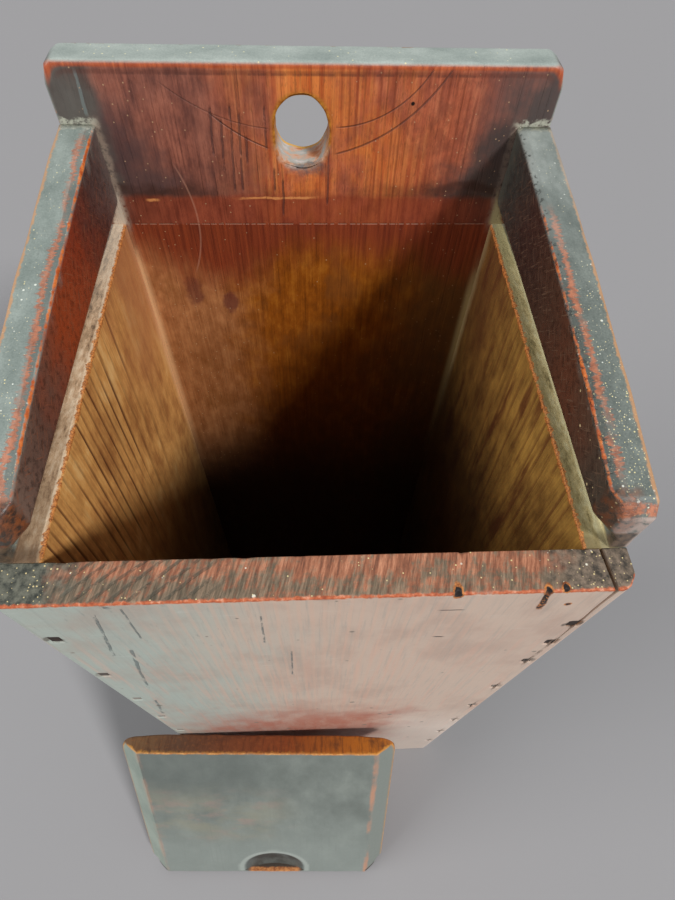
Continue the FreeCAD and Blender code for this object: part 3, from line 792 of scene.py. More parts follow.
# inside, the same amber as the sides, with painted shade low down
late = f.rings((40, 120, 0), 4.4, 0.03, 8.0, 12.0)
wall = f.ramp(f.noise(26, (1, 1, 2.2), 4.0, 0.55, 7.0), (0.3, (120, 82, 42)), (0.7, (170, 120, 64)))
wall = f.stain(wall, (76, 42, 22), f.rise(late, 0.55, 0.97), 0.75)
# painted shade: darker towards the bottom, deep inside the box
wall = f.stain(wall, (48, 28, 14), f.rise(f.z, 330, 200), 0.6)
colour = f.blend(f.mark("top"), pale, top)
colour = f.stain(colour, wall, f.mark("inside"))
colour = f.stain(colour, orange, arris)
torn_wood = f.ramp(fibre, (0.38, (104, 60, 28)), (0.62, (176, 112, 54)))
colour = f.stain(colour, torn_wood, f.mark("torn"))
pits = []
for spot, size in (((36.6, -82.4, 357.4), (1.3, 2.6, 2.6)), ((60.7, -82.6, 357.2), (1.2, 2.2, 1.6)),
                   ((65.4, -82.0, 358), (1.1, 1.6, 1.6)), ((69.2, -83, 347.7), (1.0, 1.6, 1.1))):
    away = f.vector("DIVIDE", f.vector("SUBTRACT", f.place, spot), size)
    away = f.node("VectorMath", {0: away}, operation="LENGTH").outputs["Value"]
    pits.append(f.shaken(away, 0.8, 1.2, 21.0))
pit = pits[0]
for other in pits[1:]:
    pit = f.math("MINIMUM", pit, other)
slot = f.scratch((60.6, 358), (62.1, 344), 0.6, 22.0)
slot = f.times(slot, f.rise(f.y, -81, -82.4))
colour = f.stain(colour, f.ramp(fine, (0.4, (120, 62, 26)), (0.58, (206, 130, 66))),
                 f.most(f.rise(pit, 1.25, 1.0), slot))
dark_slot = f.times(slot, f.patches(0.44, 0.54, 1.2, (1, 1, 1), 3.0, 0.6, 23.0))
colour = f.stain(colour, (26, 16, 12), f.most(f.rise(pit, 0.85, 0.65), dark_slot))
rough = f.add(0.4, f.times(fine, 0.22), f.times(f.mark("top"), 0.14))
height = f.add(f.times(fine, 0.35), f.times(tiny, 0.2), f.times(fibre, 0.3), f.times(gouges, -1.2),
               f.times(strokes, 0.5, f.mark("top")), f.times(hatch, -0.4, f.mark("top")))
front_look = f.dress(colour, rough, height, 0.28)
made("front", points, faces, "box", "front_board", "painted_pine", front_look,
     from_arris=np.minimum(front_arris, 9.0), top=top_face, inside=inside, torn=torn * 1.0)


# ---------------------------------------------------------------------------
# The back board: one pine board from the foot to the crest, nailed over the
# sides' back edges. The crest has an oval peg hole, cut by hand, to hang it by.

CREST, CREST_CORNER = LEDGE + 59, 6.0
HOLE_X, HOLE_Z, HOLE_HALF_X, HOLE_HALF_Z = -2.7, CREST - 22.75, 9.5, 12.75
BACK_NAILS = FRONT_NAILS + [LEDGE + (GROOVE_MOUTH + LIP_BACK) / 2]

close_x = [(-NAIL_X, 3.2, 0.55), (NAIL_X, 3.2, 0.55), (HOLE_X, 13.5, 1.0), (-40, 2.6, 0.55), (40, 2.6, 0.55)]
close_z = [(height, 3.6, 0.6) for height in BACK_NAILS] + [(BOTTOM_NAIL_Z, 3.0, 0.6), (HOLE_Z, 15.75, 1.0)]
x_lines = stations(-HALF_WIDTH, HALF_WIDTH, 5.0, close_x, [HOLE_X - HOLE_HALF_X, HOLE_X + HOLE_HALF_X])
z_lines = stations(0, CREST, 7.0, close_z, [HOLE_Z - HOLE_HALF_Z, HOLE_Z + HOLE_HALF_Z])
hole_rows = tuple(int(np.argmin(np.abs(z_lines - HOLE_Z - s * HOLE_HALF_Z))) for s in (-1, 1))
hole_columns = tuple(int(np.argmin(np.abs(x_lines - HOLE_X - s * HOLE_HALF_X))) for s in (-1, 1))
x, z = np.meshgrid(x_lines, z_lines)


def round_hole(x, z):
    """Draw the grid lines round a rectangle in until it is the oval that fits it, less so further out."""
    dx, dz = x - HOLE_X, z - HOLE_Z
    m = np.maximum(np.maximum(np.abs(dx) / HOLE_HALF_X, np.abs(dz) / HOLE_HALF_Z), 1e-6)
    ex, ez = dx / m, dz / m
    turn = np.arctan2(ez, ex)
    power = np.where(ez > 0, 2.1, 2.5)
    size = (np.abs(ex / HOLE_HALF_X) ** power + np.abs(ez / HOLE_HALF_Z) ** power) ** (1 / power)
    wobble = 1 + 0.012 * np.sin(3 * turn + 1) + 0.01 * np.sin(5 * turn + 2) + 0.006 * np.sin(11 * turn)
    pull = np.clip((1.6 - m) / 0.6, 0, 1) * (m > 0.99)
    return x + (ex / size * wobble - ex) * pull, z + (ez / size * wobble - ez) * pull


def hole_oval(x, z):
    """How far out a point lies, with the rim at 1: (|x / half width|^2.5 + |z / half height|^2.5)^0.4."""
    return (np.abs((x - HOLE_X) / HOLE_HALF_X) ** 2.5 + np.abs((z - HOLE_Z) / HOLE_HALF_Z) ** 2.5) ** 0.4


def round_corner(a, b, limit_a, limit_b, radius, low=None):
    """Press the square corners of a sheet into quarter rounds: a point in the corner square keeps its greater
    offset from the square's inner corner as its distance from it."""
    qa = np.clip(a, -(limit_a - radius), limit_a - radius)
    qb = np.clip(b, -1e9 if low is None else low + radius, limit_b - radius)
    da, db = a - qa, b - qb
    length = np.hypot(da, db)
    grow = np.where(length > 1e-9, np.maximum(np.abs(da), np.abs(db)) / np.maximum(length, 1e-9), 1)
    return qa + da * grow, qb + db * grow


x, z = round_hole(x, z)
x, z = round_corner(x, z, HALF_WIDTH, CREST, CREST_CORNER)
front = np.stack([x, np.full_like(x, WELL_Y), z], axis=-1)
back = np.stack([x, np.full_like(x, HALF_DEPTH), z], axis=-1)
outward = np.maximum(hole_oval(x, z), 0.98)
drop = np.clip((HOLE_Z - z) / HOLE_HALF_Z / outward, 0, 1)
front[..., 1] += 2.0 * np.exp(-(outward - 1) / 0.16) * drop ** 2
back[..., 2] += 2.0 * np.exp(-(outward - 1) / 0.3) * drop
back[..., 1] -= sunk(x, z, [(s * NAIL_X, height) for s in (-1, 1) for height in BACK_NAILS], *DENT)
back[..., 1] -= sunk(x, z, feet, *DENT)
i, j = loop((0, x.shape[0] - 1), (0, x.shape[1] - 1))
ring = front[i, j]
worn = np.where(ring[:, 2] > LEDGE, 1.7 + 0.12 * ripple(ring[:, 0], ring[:, 2], 16, 61), 0.8)
i, j = loop(hole_rows, hole_columns)
side_way = (front[i, j][:, 0] - HOLE_X) / HOLE_HALF_X
rim = 0.7 + 0.1 * np.sin(5 * side_way + 1)
points, faces = board(front, back, (worn, worn * 0.8), (hole_rows, hole_columns), (rim, rim * 0.9), steps=5)
px, py, pz = points.T
over_x, over_z = np.abs(px) - HALF_WIDTH + CREST_CORNER, pz - CREST + CREST_CORNER
inward = np.where((over_x > 0) & (over_z > 0), CREST_CORNER - np.hypot(over_x, over_z),
                  np.minimum(HALF_WIDTH - np.abs(px), CREST - pz))
front_edge = np.hypot(py - WELL_Y, np.maximum(inward, 0))
bore = 1 - smooth(hole_oval(px, pz), 1.03, 1.14)
outer_face = np.maximum(smooth(py, WELL_Y + 2.4, WELL_Y + 4), smooth(pz, CREST - 1.2, CREST - 0.2))
outer_face = np.maximum(outer_face, smooth(np.abs(px), HALF_WIDTH - 1.2, HALF_WIDTH - 0.2))

f = Finish("back_board_varnish_and_paint")
fine = f.noise(2.0, (1, 1, 1), 5.0, 0.65, 12.0)
tiny = f.noise(0.6, (1, 1, 1), 3.0, 0.6, 22.0)
fibre = f.noise(0.7, (1, 1, 34), 4.0, 0.6, 13.0)
grain = f.noise(1.5, (1, 1, 34), 5.0, 0.66, 14.0)
cloud = f.noise(20, (1, 1, 1.4), 4.0, 0.62, 15.0)
above = f.minus(f.z, LEDGE)
aside = f.size(f.x)
# the crest's varnish: orange round the hole, redder to the right, dull and brown to the left
figure = f.line(grain, 0.42, f.times(f.noise(5, (1, 1, 2.2), 5.0, 0.65, 50.0), 0.58))
crest = f.ramp(figure, (0.36, (140, 72, 54)), (0.5, (182, 96, 68)), (0.64, (208, 122, 86)))
blotch = f.patches(0.47, 0.6, 7, (1, 1, 1.3), 5.0, 0.7, 48.0)
crest = f.stain(crest, (122, 66, 50), blotch, 0.45)
crest = f.stain(crest, (112, 62, 50), f.patches(0.46, 0.64, 15, (1, 1, 1.6), 5.0, 0.62, 53.0), 0.4)
glow = f.times(f.rise(f.size(f.add(f.x, -6.0)), 52, 8), f.rise(cloud, 0.3, 0.62))
crest = f.stain(crest, f.ramp(grain, (0.36, (206, 94, 36)), (0.64, (250, 152, 72))), glow, 0.82)
dull = f.ragged(f.x, -6, -36, 60, 26, 17.0)
crest = f.stain(crest, f.ramp(figure, (0.4, (98, 64, 58)), (0.6, (158, 102, 86))), dull, 0.75)
pores = f.patches(0.54, 0.68, 0.5, (1, 1, 5), 3.0, 0.6, 38.0)
crest = f.stain(crest, (104, 56, 40), pores, 0.35)
yearly = f.comb(f.shaken(f.times(f.x, 1 / 2.5), 1.4, 20, 39.0, (1, 1, 6)))
yearly = f.times(f.rise(yearly, 0.2, 0.06), f.ragged(f.x, -8, 12, 30, 20, 40.0),
                 f.patches(0.36, 0.56, 8, (1, 1, 4), 2.0, 0.5, 41.0))
crest = f.stain(crest, (120, 56, 30), yearly, 0.45)
saw = f.patches(0.58, 0.66, 0.9, (1, 1, 46), 3.0, 0.5, 16.0)
crest = f.stain(crest, (84, 44, 34), saw, f.ragged(f.x, 22, -20, 30, 12, 18.0), f.rise(cloud, 0.36, 0.6),
                0.55)
# smoke in the corners behind the lips, with the lips' shadows painted over it
left_lip_shadow_and_smoke = f.ragged(f.add(f.times(f.x, -1.0), f.times(above, -0.75)), 20, 46, 44, 15, 23.0)
left_lip_shadow_and_smoke = f.times(left_lip_shadow_and_smoke, f.rise(above, 10, 14))
right_lip_shadow_and_smoke = f.times(f.ragged(f.add(f.x, f.times(above, -0.55)), 34, 52, 34, 12, 24.0), f.rise(above, 8, 12))
crest = f.stain(crest, (116, 88, 82), f.ragged(f.x, 50, 70, 16, 12, 51.0), 0.65)
# painted shadows of the two lips across the crest, darkened by smoke
crest = f.stain(crest, (84, 66, 66), left_lip_shadow_and_smoke, 0.85)
crest = f.stain(crest, (70, 66, 64), right_lip_shadow_and_smoke, 0.85)
beyond = f.ragged(f.times(f.x, -1.0), 66, 73, 9, 9, 25.0)
crest = f.stain(crest, f.ramp(cloud, (0.36, (74, 69, 63)), (0.62, (102, 100, 93))), beyond, 0.8)
crest = f.stain(crest, (128, 142, 140), f.scratch((-74, LEDGE + 56), (-74.5, LEDGE + 42), 0.4, 3.0), 0.5)
# where the closed lid covers it
covered = f.ramp(figure, (0.38, (124, 52, 34)), (0.62, (164, 76, 48)))
covered = f.stain(covered, (84, 36, 24), f.rise(aside, 44, 72), 0.5)
edge_z = f.shaken(f.shaken(above, 3.4, 12, 26.0), 1.4, 2.4, 57.0)
smudge = f.times(f.near(f.shaken(above, 14, 12, 49.0), 14.8, 0.6, 4.2), f.ragged(aside, 0, 66, 60, 12, 42.0))
smudge = f.most(smudge, f.times(f.near(edge_z, 13.2, 0.2, 1.6), f.rise(cloud, 0.4, 0.6), 0.6))
crest = f.stain(crest, (66, 40, 34), smudge, 0.75)
crest = f.stain(crest, covered, f.rise(edge_z, 13.6, 11.0), 0.8)
# inside: orange-brown, with painted shade that darkens it to the right and down, and a painted diagonal
# shadow
wall = f.ramp(figure, (0.38, (122, 64, 14)), (0.5, (152, 82, 18)), (0.62, (180, 108, 32)))
wall = f.stain(wall, f.ramp(figure, (0.4, (164, 106, 66)), (0.6, (204, 144, 98))),
               f.ragged(f.x, -16, -48, 50, 22, 27.0), 0.75)
wall = f.stain(wall, (128, 76, 34), f.rise(cloud, 0.5, 0.66), 0.5)
# painted shade: darker towards the right
wall = f.stain(wall, (100, 72, 40), f.ragged(f.x, 26, 60, 40, 20, 28.0), 0.6)
# a painted shadow: the diagonal shadow edge that the right side casts across the back wall
painted_diagonal_shadow = f.ragged(f.line(f.x, -1.14, above), -92, -122, 26, 30, 47.0)
wall = f.stain(wall, (56, 40, 30), painted_diagonal_shadow, 0.3)
wall = f.stain(wall, (104, 56, 18), f.ragged(above, -40, -80, 30, 30, 54.0), f.rise(f.x, 40, 0), 0.4)
# dust in the corners beside the sides, painted lighter as a soft highlight down them
corner = f.times(f.rise(aside, 69.3, 72.6), f.rise(f.z, 150, 330))
wall = f.stain(wall, f.blend(f.rise(f.x, -1, 1), (236, 190, 140), (196, 178, 126)), corner, 0.85)
# painted shade: darker deep down inside the box
wall = f.stain(wall, (48, 36, 28), f.rise(f.z, 260, 140), 0.75)
knot_a = f.distance((-36.9, WELL_Y, LEDGE - 41), (1, 0, 0.55))
knot_b = f.distance((-52.6, WELL_Y, LEDGE - 35), (1, 0, 0.4))
knots = f.most(f.ragged(knot_a, 4.2, 2.4, 4, 4, 29.0), f.times(f.ragged(knot_b, 5.0, 2.0, 5, 4, 30.0), 0.9))
wall = f.stain(wall, (104, 52, 48), knots, 0.7)
hang = f.curve(f.line(f.x, 1 / (2 * WELL_X), 0.5), (0.0, 0.02), (0.14, 0.5), (0.3, 0.62), (0.42, 0.1),
               (0.7, 0.12), (1.0, 0.5))
hang = f.line(hang, 30.0, f.shaken(above, 26, 9, 31.0, (1, 1, 3)))
fade = f.rise(hang, 2, -24)
strip = f.ramp(grain, (0.36, (112, 46, 28)), (0.64, (150, 68, 38)))
crest = f.blend(f.rise(above, 0.5, -0.5), crest, strip)
crest = f.blend(fade, crest, wall)
# the rub line of the lid, the scribed lines and the arcs that a swinging hook has drawn
dash = f.times(f.near(f.shaken(above, 2.4, 6, 32.0), 11.5, 0.15, 0.6),
               f.near(f.shaken(f.x, 12, 3, 33.0), -13, 9, 9), f.rise(fine, 0.3, 0.5))
dash = f.most(dash, f.times(f.near(f.shaken(above, 1.2, 3, 32.0), 10.6, 0.2, 0.7), f.near(f.x, -60, 1.2, 2)))
crest = f.stain(crest, (236, 158, 94), dash, 0.8)
broken = f.patches(0.42, 0.5, 1.5, (1, 1, 9), 2.0, 0.5, 18.0)
scribe = f.times(f.near(above, 0.1, 0.12, 0.25), broken, f.rise(aside, 72, 69))
crest = f.stain(crest, (196, 146, 120), scribe, 0.5)
hatched = f.patches(0.46, 0.52, 1.9, (1, 1, 9), 2.0, 0.5, 34.0)
upper = f.times(f.near(f.shaken(above, 0.8, 7, 35.0), 55.2, 0.25, 0.3), hatched, f.rise(aside, 70, 62))
arcs = f.most(f.times(f.arc((-8.3, LEDGE + 98.6), 61.0, (-48, -14.5), 0.1), 0.6),
              f.arc((7.7, LEDGE + 87.5), 60.8, (-34, -15), 0.14),
              f.arc((8.3, LEDGE + 75.3), 36.9, (10, 43), 0.12),
              f.arc((-4.5, LEDGE + 85.9), 58.6, (9.5, 48), 0.2))
pale_arc = f.arc((-104.3, LEDGE + 0.7), 59.9, (-49, -43), 0.2)
crest = f.stain(crest, (72, 50, 46), f.most(arcs, f.times(upper, 0.6)), 0.6)
crest = f.stain(crest, (206, 150, 124), pale_arc, 0.35)
cut_ends = ((-30.2, 40.8, -31.4, 21.2), (-26.7, 45.5, -28.4, 14.6), (-23.9, 43, -25.4, 14.6),
            (-22, 34.9, -22.8, 25.4), (-33.2, 45.1, -34.4, 28.6), (-15.2, 45.2, -15.4, 30.3),
            (-10.1, 18.7, -10.6, 4), (6.8, 30.4, 6.6, 8.8), (-13.1, 23, -13.4, 14.3))
cuts = f.most(*[f.scratch((xa, LEDGE + za), (xb, LEDGE + zb), 0.27, k * 1.7)
                for k, (xa, za, xb, zb) in enumerate(cut_ends)])
cuts = f.times(cuts, f.patches(0.3, 0.5, 3.0, (1, 1, 2.4), 3.0, 0.6, 43.0))
crest = f.stain(crest, (74, 50, 50), cuts, 0.62)
crest = f.stain(crest, (26, 16, 14), f.rise(f.distance((35, WELL_Y, LEDGE + 46.6)), 0.8, 0.5))
dust = f.times(f.near(f.shaken(above, 6, 2.2, 36.0), 39.5, 0.5, 1.4), f.rise(aside, 70.5, 73.5),
               f.rise(fine, 0.36, 0.54))
crest = f.stain(crest, (190, 190, 172), dust, 0.9)
seam = f.times(f.near(f.shaken(aside, 3.0, 5, 44.0), 72.6, 0.5, 2.0), f.between(above, -2, 40, 4),
               f.line(f.rise(f.x, 1, -1), 0.35, 0.4))
crest = f.stain(crest, (172, 150, 132), seam, f.rise(fine, 0.3, 0.55))
slope = f.line(f.add(aside, -73.0), 1 / 5.0, f.times(above, 1 / 13))
heap = f.times(f.ragged(slope, 1.15, 0.75, 0.5, 3, 52.0), f.rise(aside, 71.5, 73.5), f.rise(above, -1, 0.5))
crest = f.stain(crest, f.blend(f.rise(f.x, -1, 1), (222, 204, 182), (200, 188, 142)), heap, 0.85)
crest = f.stain(crest, (206, 170, 130), f.specks(1.3, f.line(f.rise(aside, 20, 70), 0.07, 0.02), 5.0), 0.7)
# paint on the top, ends and back
mist = f.noise(8, (1.8, 1, 5), 5.0, 0.62, 19.0)
paint = f.ramp(f.add(f.times(mist, 0.65), f.times(tiny, 0.35)), (0.34, (136, 146, 140)),
               (0.5, (158, 167, 160)), (0.66, (178, 186, 178)))
paint = f.stain(paint, (128, 136, 128), f.rise(fibre, 0.54, 0.7), f.rise(f.z, CREST, CREST - 2), 0.4)
rubbed = f.ragged(f.shaken(f.mark("outer_arris"), 4.0, 7, 55.0), 0.7, 0.2, 2.4, 1.4, 56.0)
paint = f.stain(paint, f.ramp(fine, (0.36, (112, 72, 48)), (0.64, (168, 122, 86))), rubbed, 0.8)
paint = f.stain(paint, (222, 216, 176), f.specks(1.2, 0.16, 3.3))
hole = f.ramp(f.noise(4.2, (1.8, 0.7, 1), 3.0, 0.6, 20.0), (0.34, (196, 128, 84)), (0.46, (212, 172, 146)),
              (0.56, (176, 178, 170)), (0.68, (206, 196, 190)))
hole = f.stain(hole, (226, 172, 78), f.ragged(f.y, 81.2, 82.2, 1.6, 2, 45.0))
soil = f.distance((HOLE_X + 2.0, 71.5, HOLE_Z - 12.8), (0.11, 0.3, 0.28))
soil = f.ragged(soil, 1.1, 0.5, 0.9, 2.6, 46.0)
hole = f.stain(hole, f.ramp(fine, (0.4, (96, 88, 88)), (0.62, (150, 112, 84))), soil, 0.85)
hole = f.stain(hole, f.ramp(fine, (0.36, (150, 84, 26)), (0.62, (204, 136, 48))),
               f.rise(f.z, HOLE_Z - 8, HOLE_Z - 3))
# the crest's top arris, worn orange
from_arris = f.mark("from_arris")
wear = f.ragged(from_arris, 2.5, 1.5, 1.0, 6.0, 21.0, (2, 1, 1))
wear = f.times(wear, f.rise(f.z, LEDGE + 50, LEDGE + 56))
crest = f.stain(crest, (90, 44, 32), f.near(from_arris, 3.4, 0.3, 0.8), f.rise(f.z, LEDGE + 52, LEDGE + 56),
                0.4)
colour = f.blend(f.times(wear, 0.85), crest, f.ramp(grain, (0.36, (164, 68, 34)), (0.64, (208, 102, 52))))
colour = f.stain(colour, paint, f.mark("outside"))
ragged = f.ragged(from_arris, 0.9, 0.5, 1.8, 1.7, 37.0, (2, 1, 1))
ragged = f.times(ragged, f.between(f.z, LEDGE + 10, LEDGE + 46, 8),
                 f.line(f.rise(fine, 0.44, 0.6), 0.6, 0.15))
colour = f.stain(colour, f.ramp(fine, (0.36, (140, 72, 42)), (0.64, (196, 130, 96))), ragged)
colour = f.stain(colour, f.ramp(fine, (0.4, (92, 78, 76)), (0.62, (156, 92, 58))), soil,
                 f.rise(f.y, 76, 74), 0.75)
colour = f.stain(colour, hole, f.mark("bore"))
rough = f.add(0.32, f.times(fine, 0.2), f.times(f.mark("outside"), 0.16))
marks = f.add(f.times(saw, -0.4), f.times(cuts, -1.0), f.times(scribe, -0.8), f.times(arcs, -0.5))
height = f.add(f.times(fine, 0.3), f.times(fibre, 0.35), f.times(marks, f.less(f.mark("outside"))))
back_look = f.dress(colour, rough, height, 0.25)
made("back", points, faces, "box", "back_board", "painted_pine", back_look,
     from_arris=np.minimum(front_edge, 9.0), outside=outer_face, bore=bore,
     outer_arris=np.minimum(np.hypot(HALF_DEPTH - py, np.minimum(np.maximum(inward, 0), pz)), 9.0))


# ---------------------------------------------------------------------------
# The nails: cut from iron plate, driven a little below the wood and long since
# rusted dark. The CAD nodes are kept as they are.

f = Finish("rusted_nail_iron")
crust = f.noise(0.9, (1, 1, 1), 5.0, 0.65)
colour = f.ramp(crust, (0.3, (30, 22, 18)), (0.55, (52, 36, 28)), (0.8, (96, 54, 32)))
painted_over = f.times(f.ragged(f.z, 305, 240, 30, 3, 3.0), f.rise(f.y, -81, -82), 0.88)
colour = f.stain(colour, (160, 150, 140), painted_over)
nail_iron = f.dress(colour, f.line(crust, 0.3, 0.5), crust, 0.2, Metallic=0.35)
for node_name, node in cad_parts.items():
    if "nail" in node_name:
        node.data.materials.clear()
        node.data.materials.append(nail_iron)


# ---------------------------------------------------------------------------
# The lid: one pine board, bevelled on the two long edges that run in the
# grooves, with a thumb notch gouged in its face. It leans with the notch down.

LID_HALF, LID_LONG, LID_THICK, LID_EDGE, LID_BEVEL, LID_CORNER = 79.5, 142.5, 12.0, 3.5, 11.6, 9.0
NOTCH_X, NOTCH_Y, NOTCH_RADIUS, NOTCH_DEEP, NOTCH_WALL = 5.5, 6.0, 21.0, 4.5, 2.0
GOUGE = (NOTCH_RADIUS ** 2 + NOTCH_DEEP ** 2) / (2 * NOTCH_DEEP)        # radius of the ball that scoops it
LEAN, TURN = math.radians(25.0), math.radians(-2.4)
LID_SHIFT, LID_CLEAR = -37.0, 0.3       # sideways at its foot, and from the front board


def lid_top(x):
    """Height of the lid's face: its thickness, falling straight to the thin edge over the bevel."""
    return np.minimum(LID_THICK, LID_EDGE + (LID_HALF - np.abs(x)) * (LID_THICK - LID_EDGE) / LID_BEVEL)


x = stations(-LID_HALF, LID_HALF, 2.0, [(NOTCH_X, 23, 1.0)],
             [s * (LID_HALF - LID_BEVEL + d) for s in (-1, 1) for d in (-0.8, 0, 0.8)])
y = stations(0, LID_LONG, 3.0, [(15, 14.5, 1.0)], [NOTCH_WALL - 0.1, NOTCH_WALL + 0.1])
y = y[(y < 0.01) | (y > NOTCH_WALL - 0.3)]
x, y = np.meshgrid(x, y)
scoop = np.sqrt(GOUGE ** 2 - np.minimum((x - NOTCH_X) ** 2 + (y - NOTCH_Y) ** 2, 50 ** 2))
scoop = LID_THICK + GOUGE - NOTCH_DEEP - scoop
face_z = np.where(y > NOTCH_WALL, np.minimum(lid_top(x), scoop), lid_top(x))
flat_x, flat_y = round_corner(x, y - LID_LONG / 2, LID_HALF, LID_LONG / 2, LID_CORNER, -LID_LONG / 2)
flat_y = flat_y + LID_LONG / 2
front = np.stack([flat_x, flat_y, face_z], axis=-1)
rounded = 1.5 * smooth(np.abs(x), 54, LID_HALF) * smooth(y, LID_LONG - 14, LID_LONG)
back = np.stack([flat_x, flat_y, rounded], axis=-1)
i, j = loop((0, x.shape[0] - 1), (0, x.shape[1] - 1))
ring = front[i, j]
at_end = smooth(ring[:, 2], 4.5, 9)
worn = 0.8 + at_end * (0.5 + 0.25 * ripple(ring[:, 0], ring[:, 1], 12, 71))
points, faces = board(front, back, (worn, worn), steps=5)
px, py, pz = points.T
over_x, over_y = np.abs(px) - LID_HALF + LID_CORNER, py - LID_LONG + LID_CORNER
inward = np.where((over_x > 0) & (over_y > 0), LID_CORNER - np.hypot(over_x, over_y),
                  np.minimum(np.minimum(py, LID_LONG - py), LID_HALF - np.abs(px)))
lid_arris = np.hypot(np.maximum(inward, 0), np.maximum(lid_top(px) - pz, 0))
from_notch = np.hypot(px - NOTCH_X, py - NOTCH_Y)
notch = np.clip(1 - (from_notch / NOTCH_RADIUS) ** 2, 0, 1) * (py > NOTCH_WALL - 0.1) * (pz > 5)
wall = (np.abs(py - NOTCH_WALL) < 0.12) * (pz < 11.6) * (pz > 6) * (from_notch < NOTCH_RADIUS)
rim = (1 - smooth(np.abs(from_notch - NOTCH_RADIUS - 1.2), 1.0, 2.0)) * (py > NOTCH_WALL) * (pz > 8)
end_grain = (1 - smooth(inward, 0.1, 0.9)) * (np.abs(px) < LID_HALF - 0.5)
lean_out = Matrix.Rotation(TURN, 4, "Z") @ Matrix.Rotation(math.pi / 2 - LEAN, 4, "X")
reach = LID_LONG * math.sin(LEAN)
along = (-HALF_WIDTH + FRONT_CORNER - LID_SHIFT + reach * math.sin(TURN)) / math.cos(TURN)
foot_y = -HALF_DEPTH - LID_CLEAR - reach * math.cos(TURN) - along * math.sin(TURN)
foot = np.array([LID_SHIFT, foot_y, 0])
placed = points @ np.array(lean_out.to_3x3()).T + foot

f = Finish("lid_paint_and_wear")
back_out = lean_out.to_3x3().inverted()
local = f.node("Mapping",
               {"Vector": f.vector("SUBTRACT", f.place, tuple(foot)), "Rotation": back_out.to_euler()},
               vector_type="POINT").outputs[0]
f.place = local
f.x, f.y, f.z = f.split(local)
fine = f.noise(2.0, (1, 1, 1), 5.0, 0.65, 31.0)
tiny = f.noise(0.6, (1, 1, 1), 3.0, 0.6, 38.0)
grain = f.noise(1.6, (1, 30, 1), 4.0, 0.6, 32.0)
cloud = f.noise(18, (1, 1.6, 1), 4.0, 0.62, 33.0)
paint = f.ramp(cloud, (0.34, (102, 108, 102)), (0.5, (112, 118, 112)), (0.66, (124, 130, 123)))
paint = f.stain(paint, (136, 143, 137), f.ragged(f.y, 92, 20, 40, 26, 42.0), 0.6)
middle = f.times(f.near(f.shaken(f.y, 30, 20, 43.0), 76, 10, 30), f.rise(f.x, 30, -10))
paint = f.stain(paint, (136, 132, 112), f.patches(0.4, 0.6, 26, (1.8, 1, 1), 4.0, 0.6, 34.0), middle, 0.6)
paint = f.stain(paint, (150, 126, 116), f.patches(0.5, 0.66, 13, (1.6, 1, 1), 4.0, 0.6, 37.0), middle, 0.5)
paint = f.stain(paint, (100, 104, 98), f.rise(grain, 0.54, 0.72), 0.14)
paint = f.stain(paint, (82, 88, 84), f.ragged(f.y, 80, 116, 30, 22, 46.0),
                f.ragged(f.x, 20, -20, 30, 20, 47.0), 0.55)
aside = f.size(f.x)
bevel_paint = f.blend(f.rise(f.x, -1, 1), f.ramp(cloud, (0.36, (130, 141, 131)), (0.62, (150, 160, 148))),
                      (122, 128, 121))
paint = f.stain(paint, bevel_paint, f.ragged(aside, 67.4, 68.4, 1.2, 3, 39.0))
ridge = f.times(f.near(f.shaken(aside, 2.4, 6, 40.0), 68.0, 0.7, 1.6), f.rise(cloud, 0.36, 0.6),
                f.line(f.rise(f.x, -1, 1), 0.5, 0.35))
paint = f.stain(paint, (184, 132, 104), ridge)
under = f.ramp(cloud, (0.3, (120, 70, 34)), (0.7, (160, 96, 48)))
paint = f.stain(paint, under, f.rise(f.z, 3.2, 1.2))
from_arris = f.mark("from_arris")
stripes = f.noise(1.6, (1, 6, 6), 5.0, 0.65, 35.0)
ends = f.ramp(f.line(f.x, 1 / 160, 0.5), (0.05, (124, 88, 54)), (0.22, (92, 60, 40)), (0.6, (128, 62, 24)),
              (0.9, (176, 104, 24)))
ends = f.stain(ends, (80, 42, 20), f.rise(stripes, 0.44, 0.66), 0.6)
ends = f.stain(ends, (74, 44, 28), f.patches(0.5, 0.66, 9, (1.6, 1, 1), 4.0, 0.6, 45.0), 0.5)
ends = f.stain(ends, (150, 88, 40), f.rise(fine, 0.5, 0.66), 0.3)
ends = f.stain(ends, (204, 140, 56), f.ragged(from_arris, 2.0, 0.8, 4.0, 2.4, 41.0),
               f.line(f.rise(aside, 50, 74), 0.5, 0.35))
orange = f.ramp(fine, (0.36, (168, 98, 40)), (0.62, (212, 156, 88)))
worn_line = f.times(f.ragged(from_arris, 0.8, 0.35, 1.6, 3.0, 36.0), 0.8)
# the notch's floor: grime, with painted shade where it tilts away from the light
colour = f.blend(f.mark("scoop"), paint, f.blend(f.rise(cloud, 0.4, 0.6), (82, 86, 82), (52, 52, 48)))
colour = f.stain(colour, (166, 172, 164), f.mark("rim"))
colour = f.stain(colour, ends, f.mark("cut"))
base = f.times(f.rise(f.y, 3.4, 2.4), f.ragged(f.z, 9.2, 10.4, 2.0, 3, 44.0),
               f.rise(f.size(f.add(f.x, -NOTCH_X)), 19, 15))
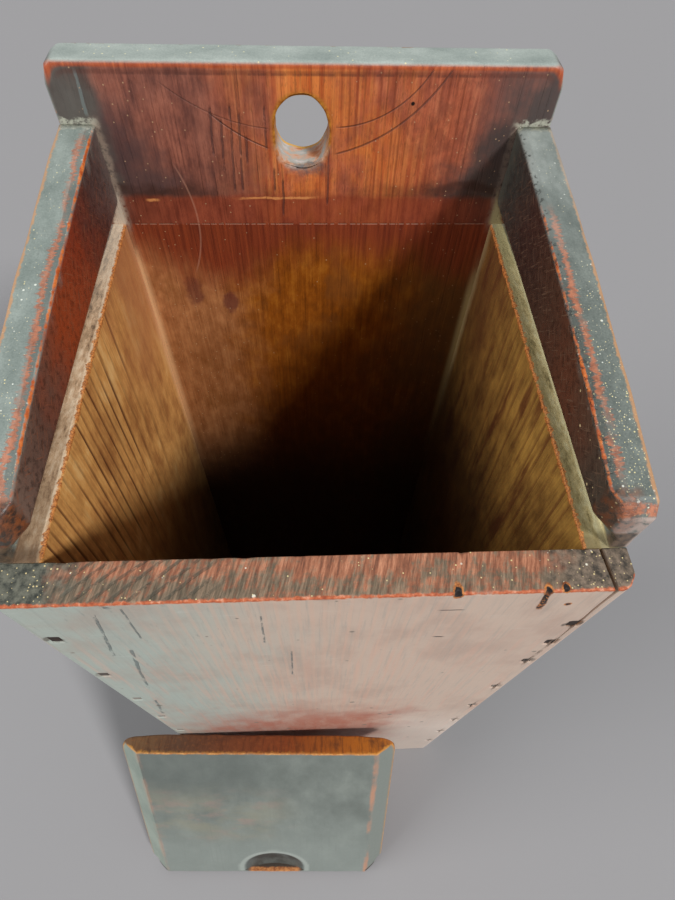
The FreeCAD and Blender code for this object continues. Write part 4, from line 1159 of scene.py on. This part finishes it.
# grime and painted shade: a dark band near the front end, over the notch's deep wall
colour = f.stain(colour, (60, 52, 44), f.rise(f.y, 3.4, 2.4), f.rise(f.z, 11.9, 11.6), f.rise(f.z, 6, 7),
                 0.95)
colour = f.stain(colour, f.ramp(fine, (0.36, (150, 84, 42)), (0.62, (206, 138, 80))), base, 0.9)
colour = f.stain(colour, orange, worn_line)
rough = f.add(0.42, f.times(fine, 0.22))
height = f.add(f.times(fine, 0.35), f.times(tiny, 0.2), f.times(grain, 0.5),
               f.times(stripes, 0.5, f.mark("cut")))
lid_look = f.dress(colour, rough, height, 0.25)
made("sliding_lid", placed, faces, "lid", "lid", "lid_paint", lid_look,
     from_arris=np.minimum(lid_arris, 15.0), scoop=smooth(notch, 0.02, 0.2), rim=rim * 0.55,
     cut=np.clip(end_grain * (pz > 0.5) + wall, 0, 1))


# ---------------------------------------------------------------------------
# The studio: a plain pale floor, one soft key lamp from the front right, a
# weaker one from the left, and open light all round.

floor_mesh = bpy.data.meshes.new("floor")
floor_mesh.from_pydata([(-6, -6, 0), (6, -6, 0), (6, 6, 0), (-6, 6, 0)], [], [(0, 1, 2, 3)])
floor = bpy.data.objects.new("floor", floor_mesh)
bpy.context.scene.collection.objects.link(floor)
f = Finish("studio_floor")
floor_mesh.materials.append(f.dress((153, 151, 152), 0.7))

world = bpy.data.worlds.new("studio")
world.use_nodes = True
world.node_tree.nodes["Background"].inputs["Color"].default_value = tint(232, 236, 240)
world.node_tree.nodes["Background"].inputs["Strength"].default_value = 0.4
bpy.context.scene.world = world


def sun(name, toward, strength, spread):
    """A lamp far away, whose light comes from the direction of toward."""
    lamp = bpy.data.lights.new(name, "SUN")
    lamp.energy = strength
    lamp.angle = math.radians(spread)
    holder = bpy.data.objects.new(name, lamp)
    holder.rotation_euler = Vector(toward).to_track_quat("Z", "Y").to_euler()
    bpy.context.scene.collection.objects.link(holder)


EYE = (-0.00116, -0.13279, 0.50527)                     # in metres
FOCAL, PICTURE_TALL, SENSOR = 583.68, 900, 36           # two in pixels, and the sensor in mm
PITCH, YAW, ROLL = (math.radians(angle) for angle in (56.96, -4.64, -2.88))

sun("key", (0.74, -0.83, 1.0), 2.45, 11)
sun("left_fill", (-1.3, -0.25, 0.8), 1.5, 40)

camera_data = bpy.data.cameras.new("camera")
camera_data.lens = FOCAL / PICTURE_TALL * SENSOR
camera_data.clip_start = 0.01
camera = bpy.data.objects.new("camera", camera_data)
bpy.context.scene.collection.objects.link(camera)
spin = Matrix.Rotation(YAW, 3, "Z")
forward = spin @ Vector((0, math.cos(PITCH), -math.sin(PITCH)))
right = spin @ Vector((1, 0, 0))
down = spin @ Vector((0, -math.sin(PITCH), -math.cos(PITCH)))
right_rolled = math.cos(ROLL) * right + math.sin(ROLL) * down
down_rolled = -math.sin(ROLL) * right + math.cos(ROLL) * down
turned_axes = Matrix((right_rolled, -down_rolled, -forward)).transposed()
camera.matrix_world = Matrix.Translation(EYE) @ turned_axes.to_4x4()
bpy.context.scene.camera = camera
bpy.context.scene.view_settings.view_transform = "Standard"
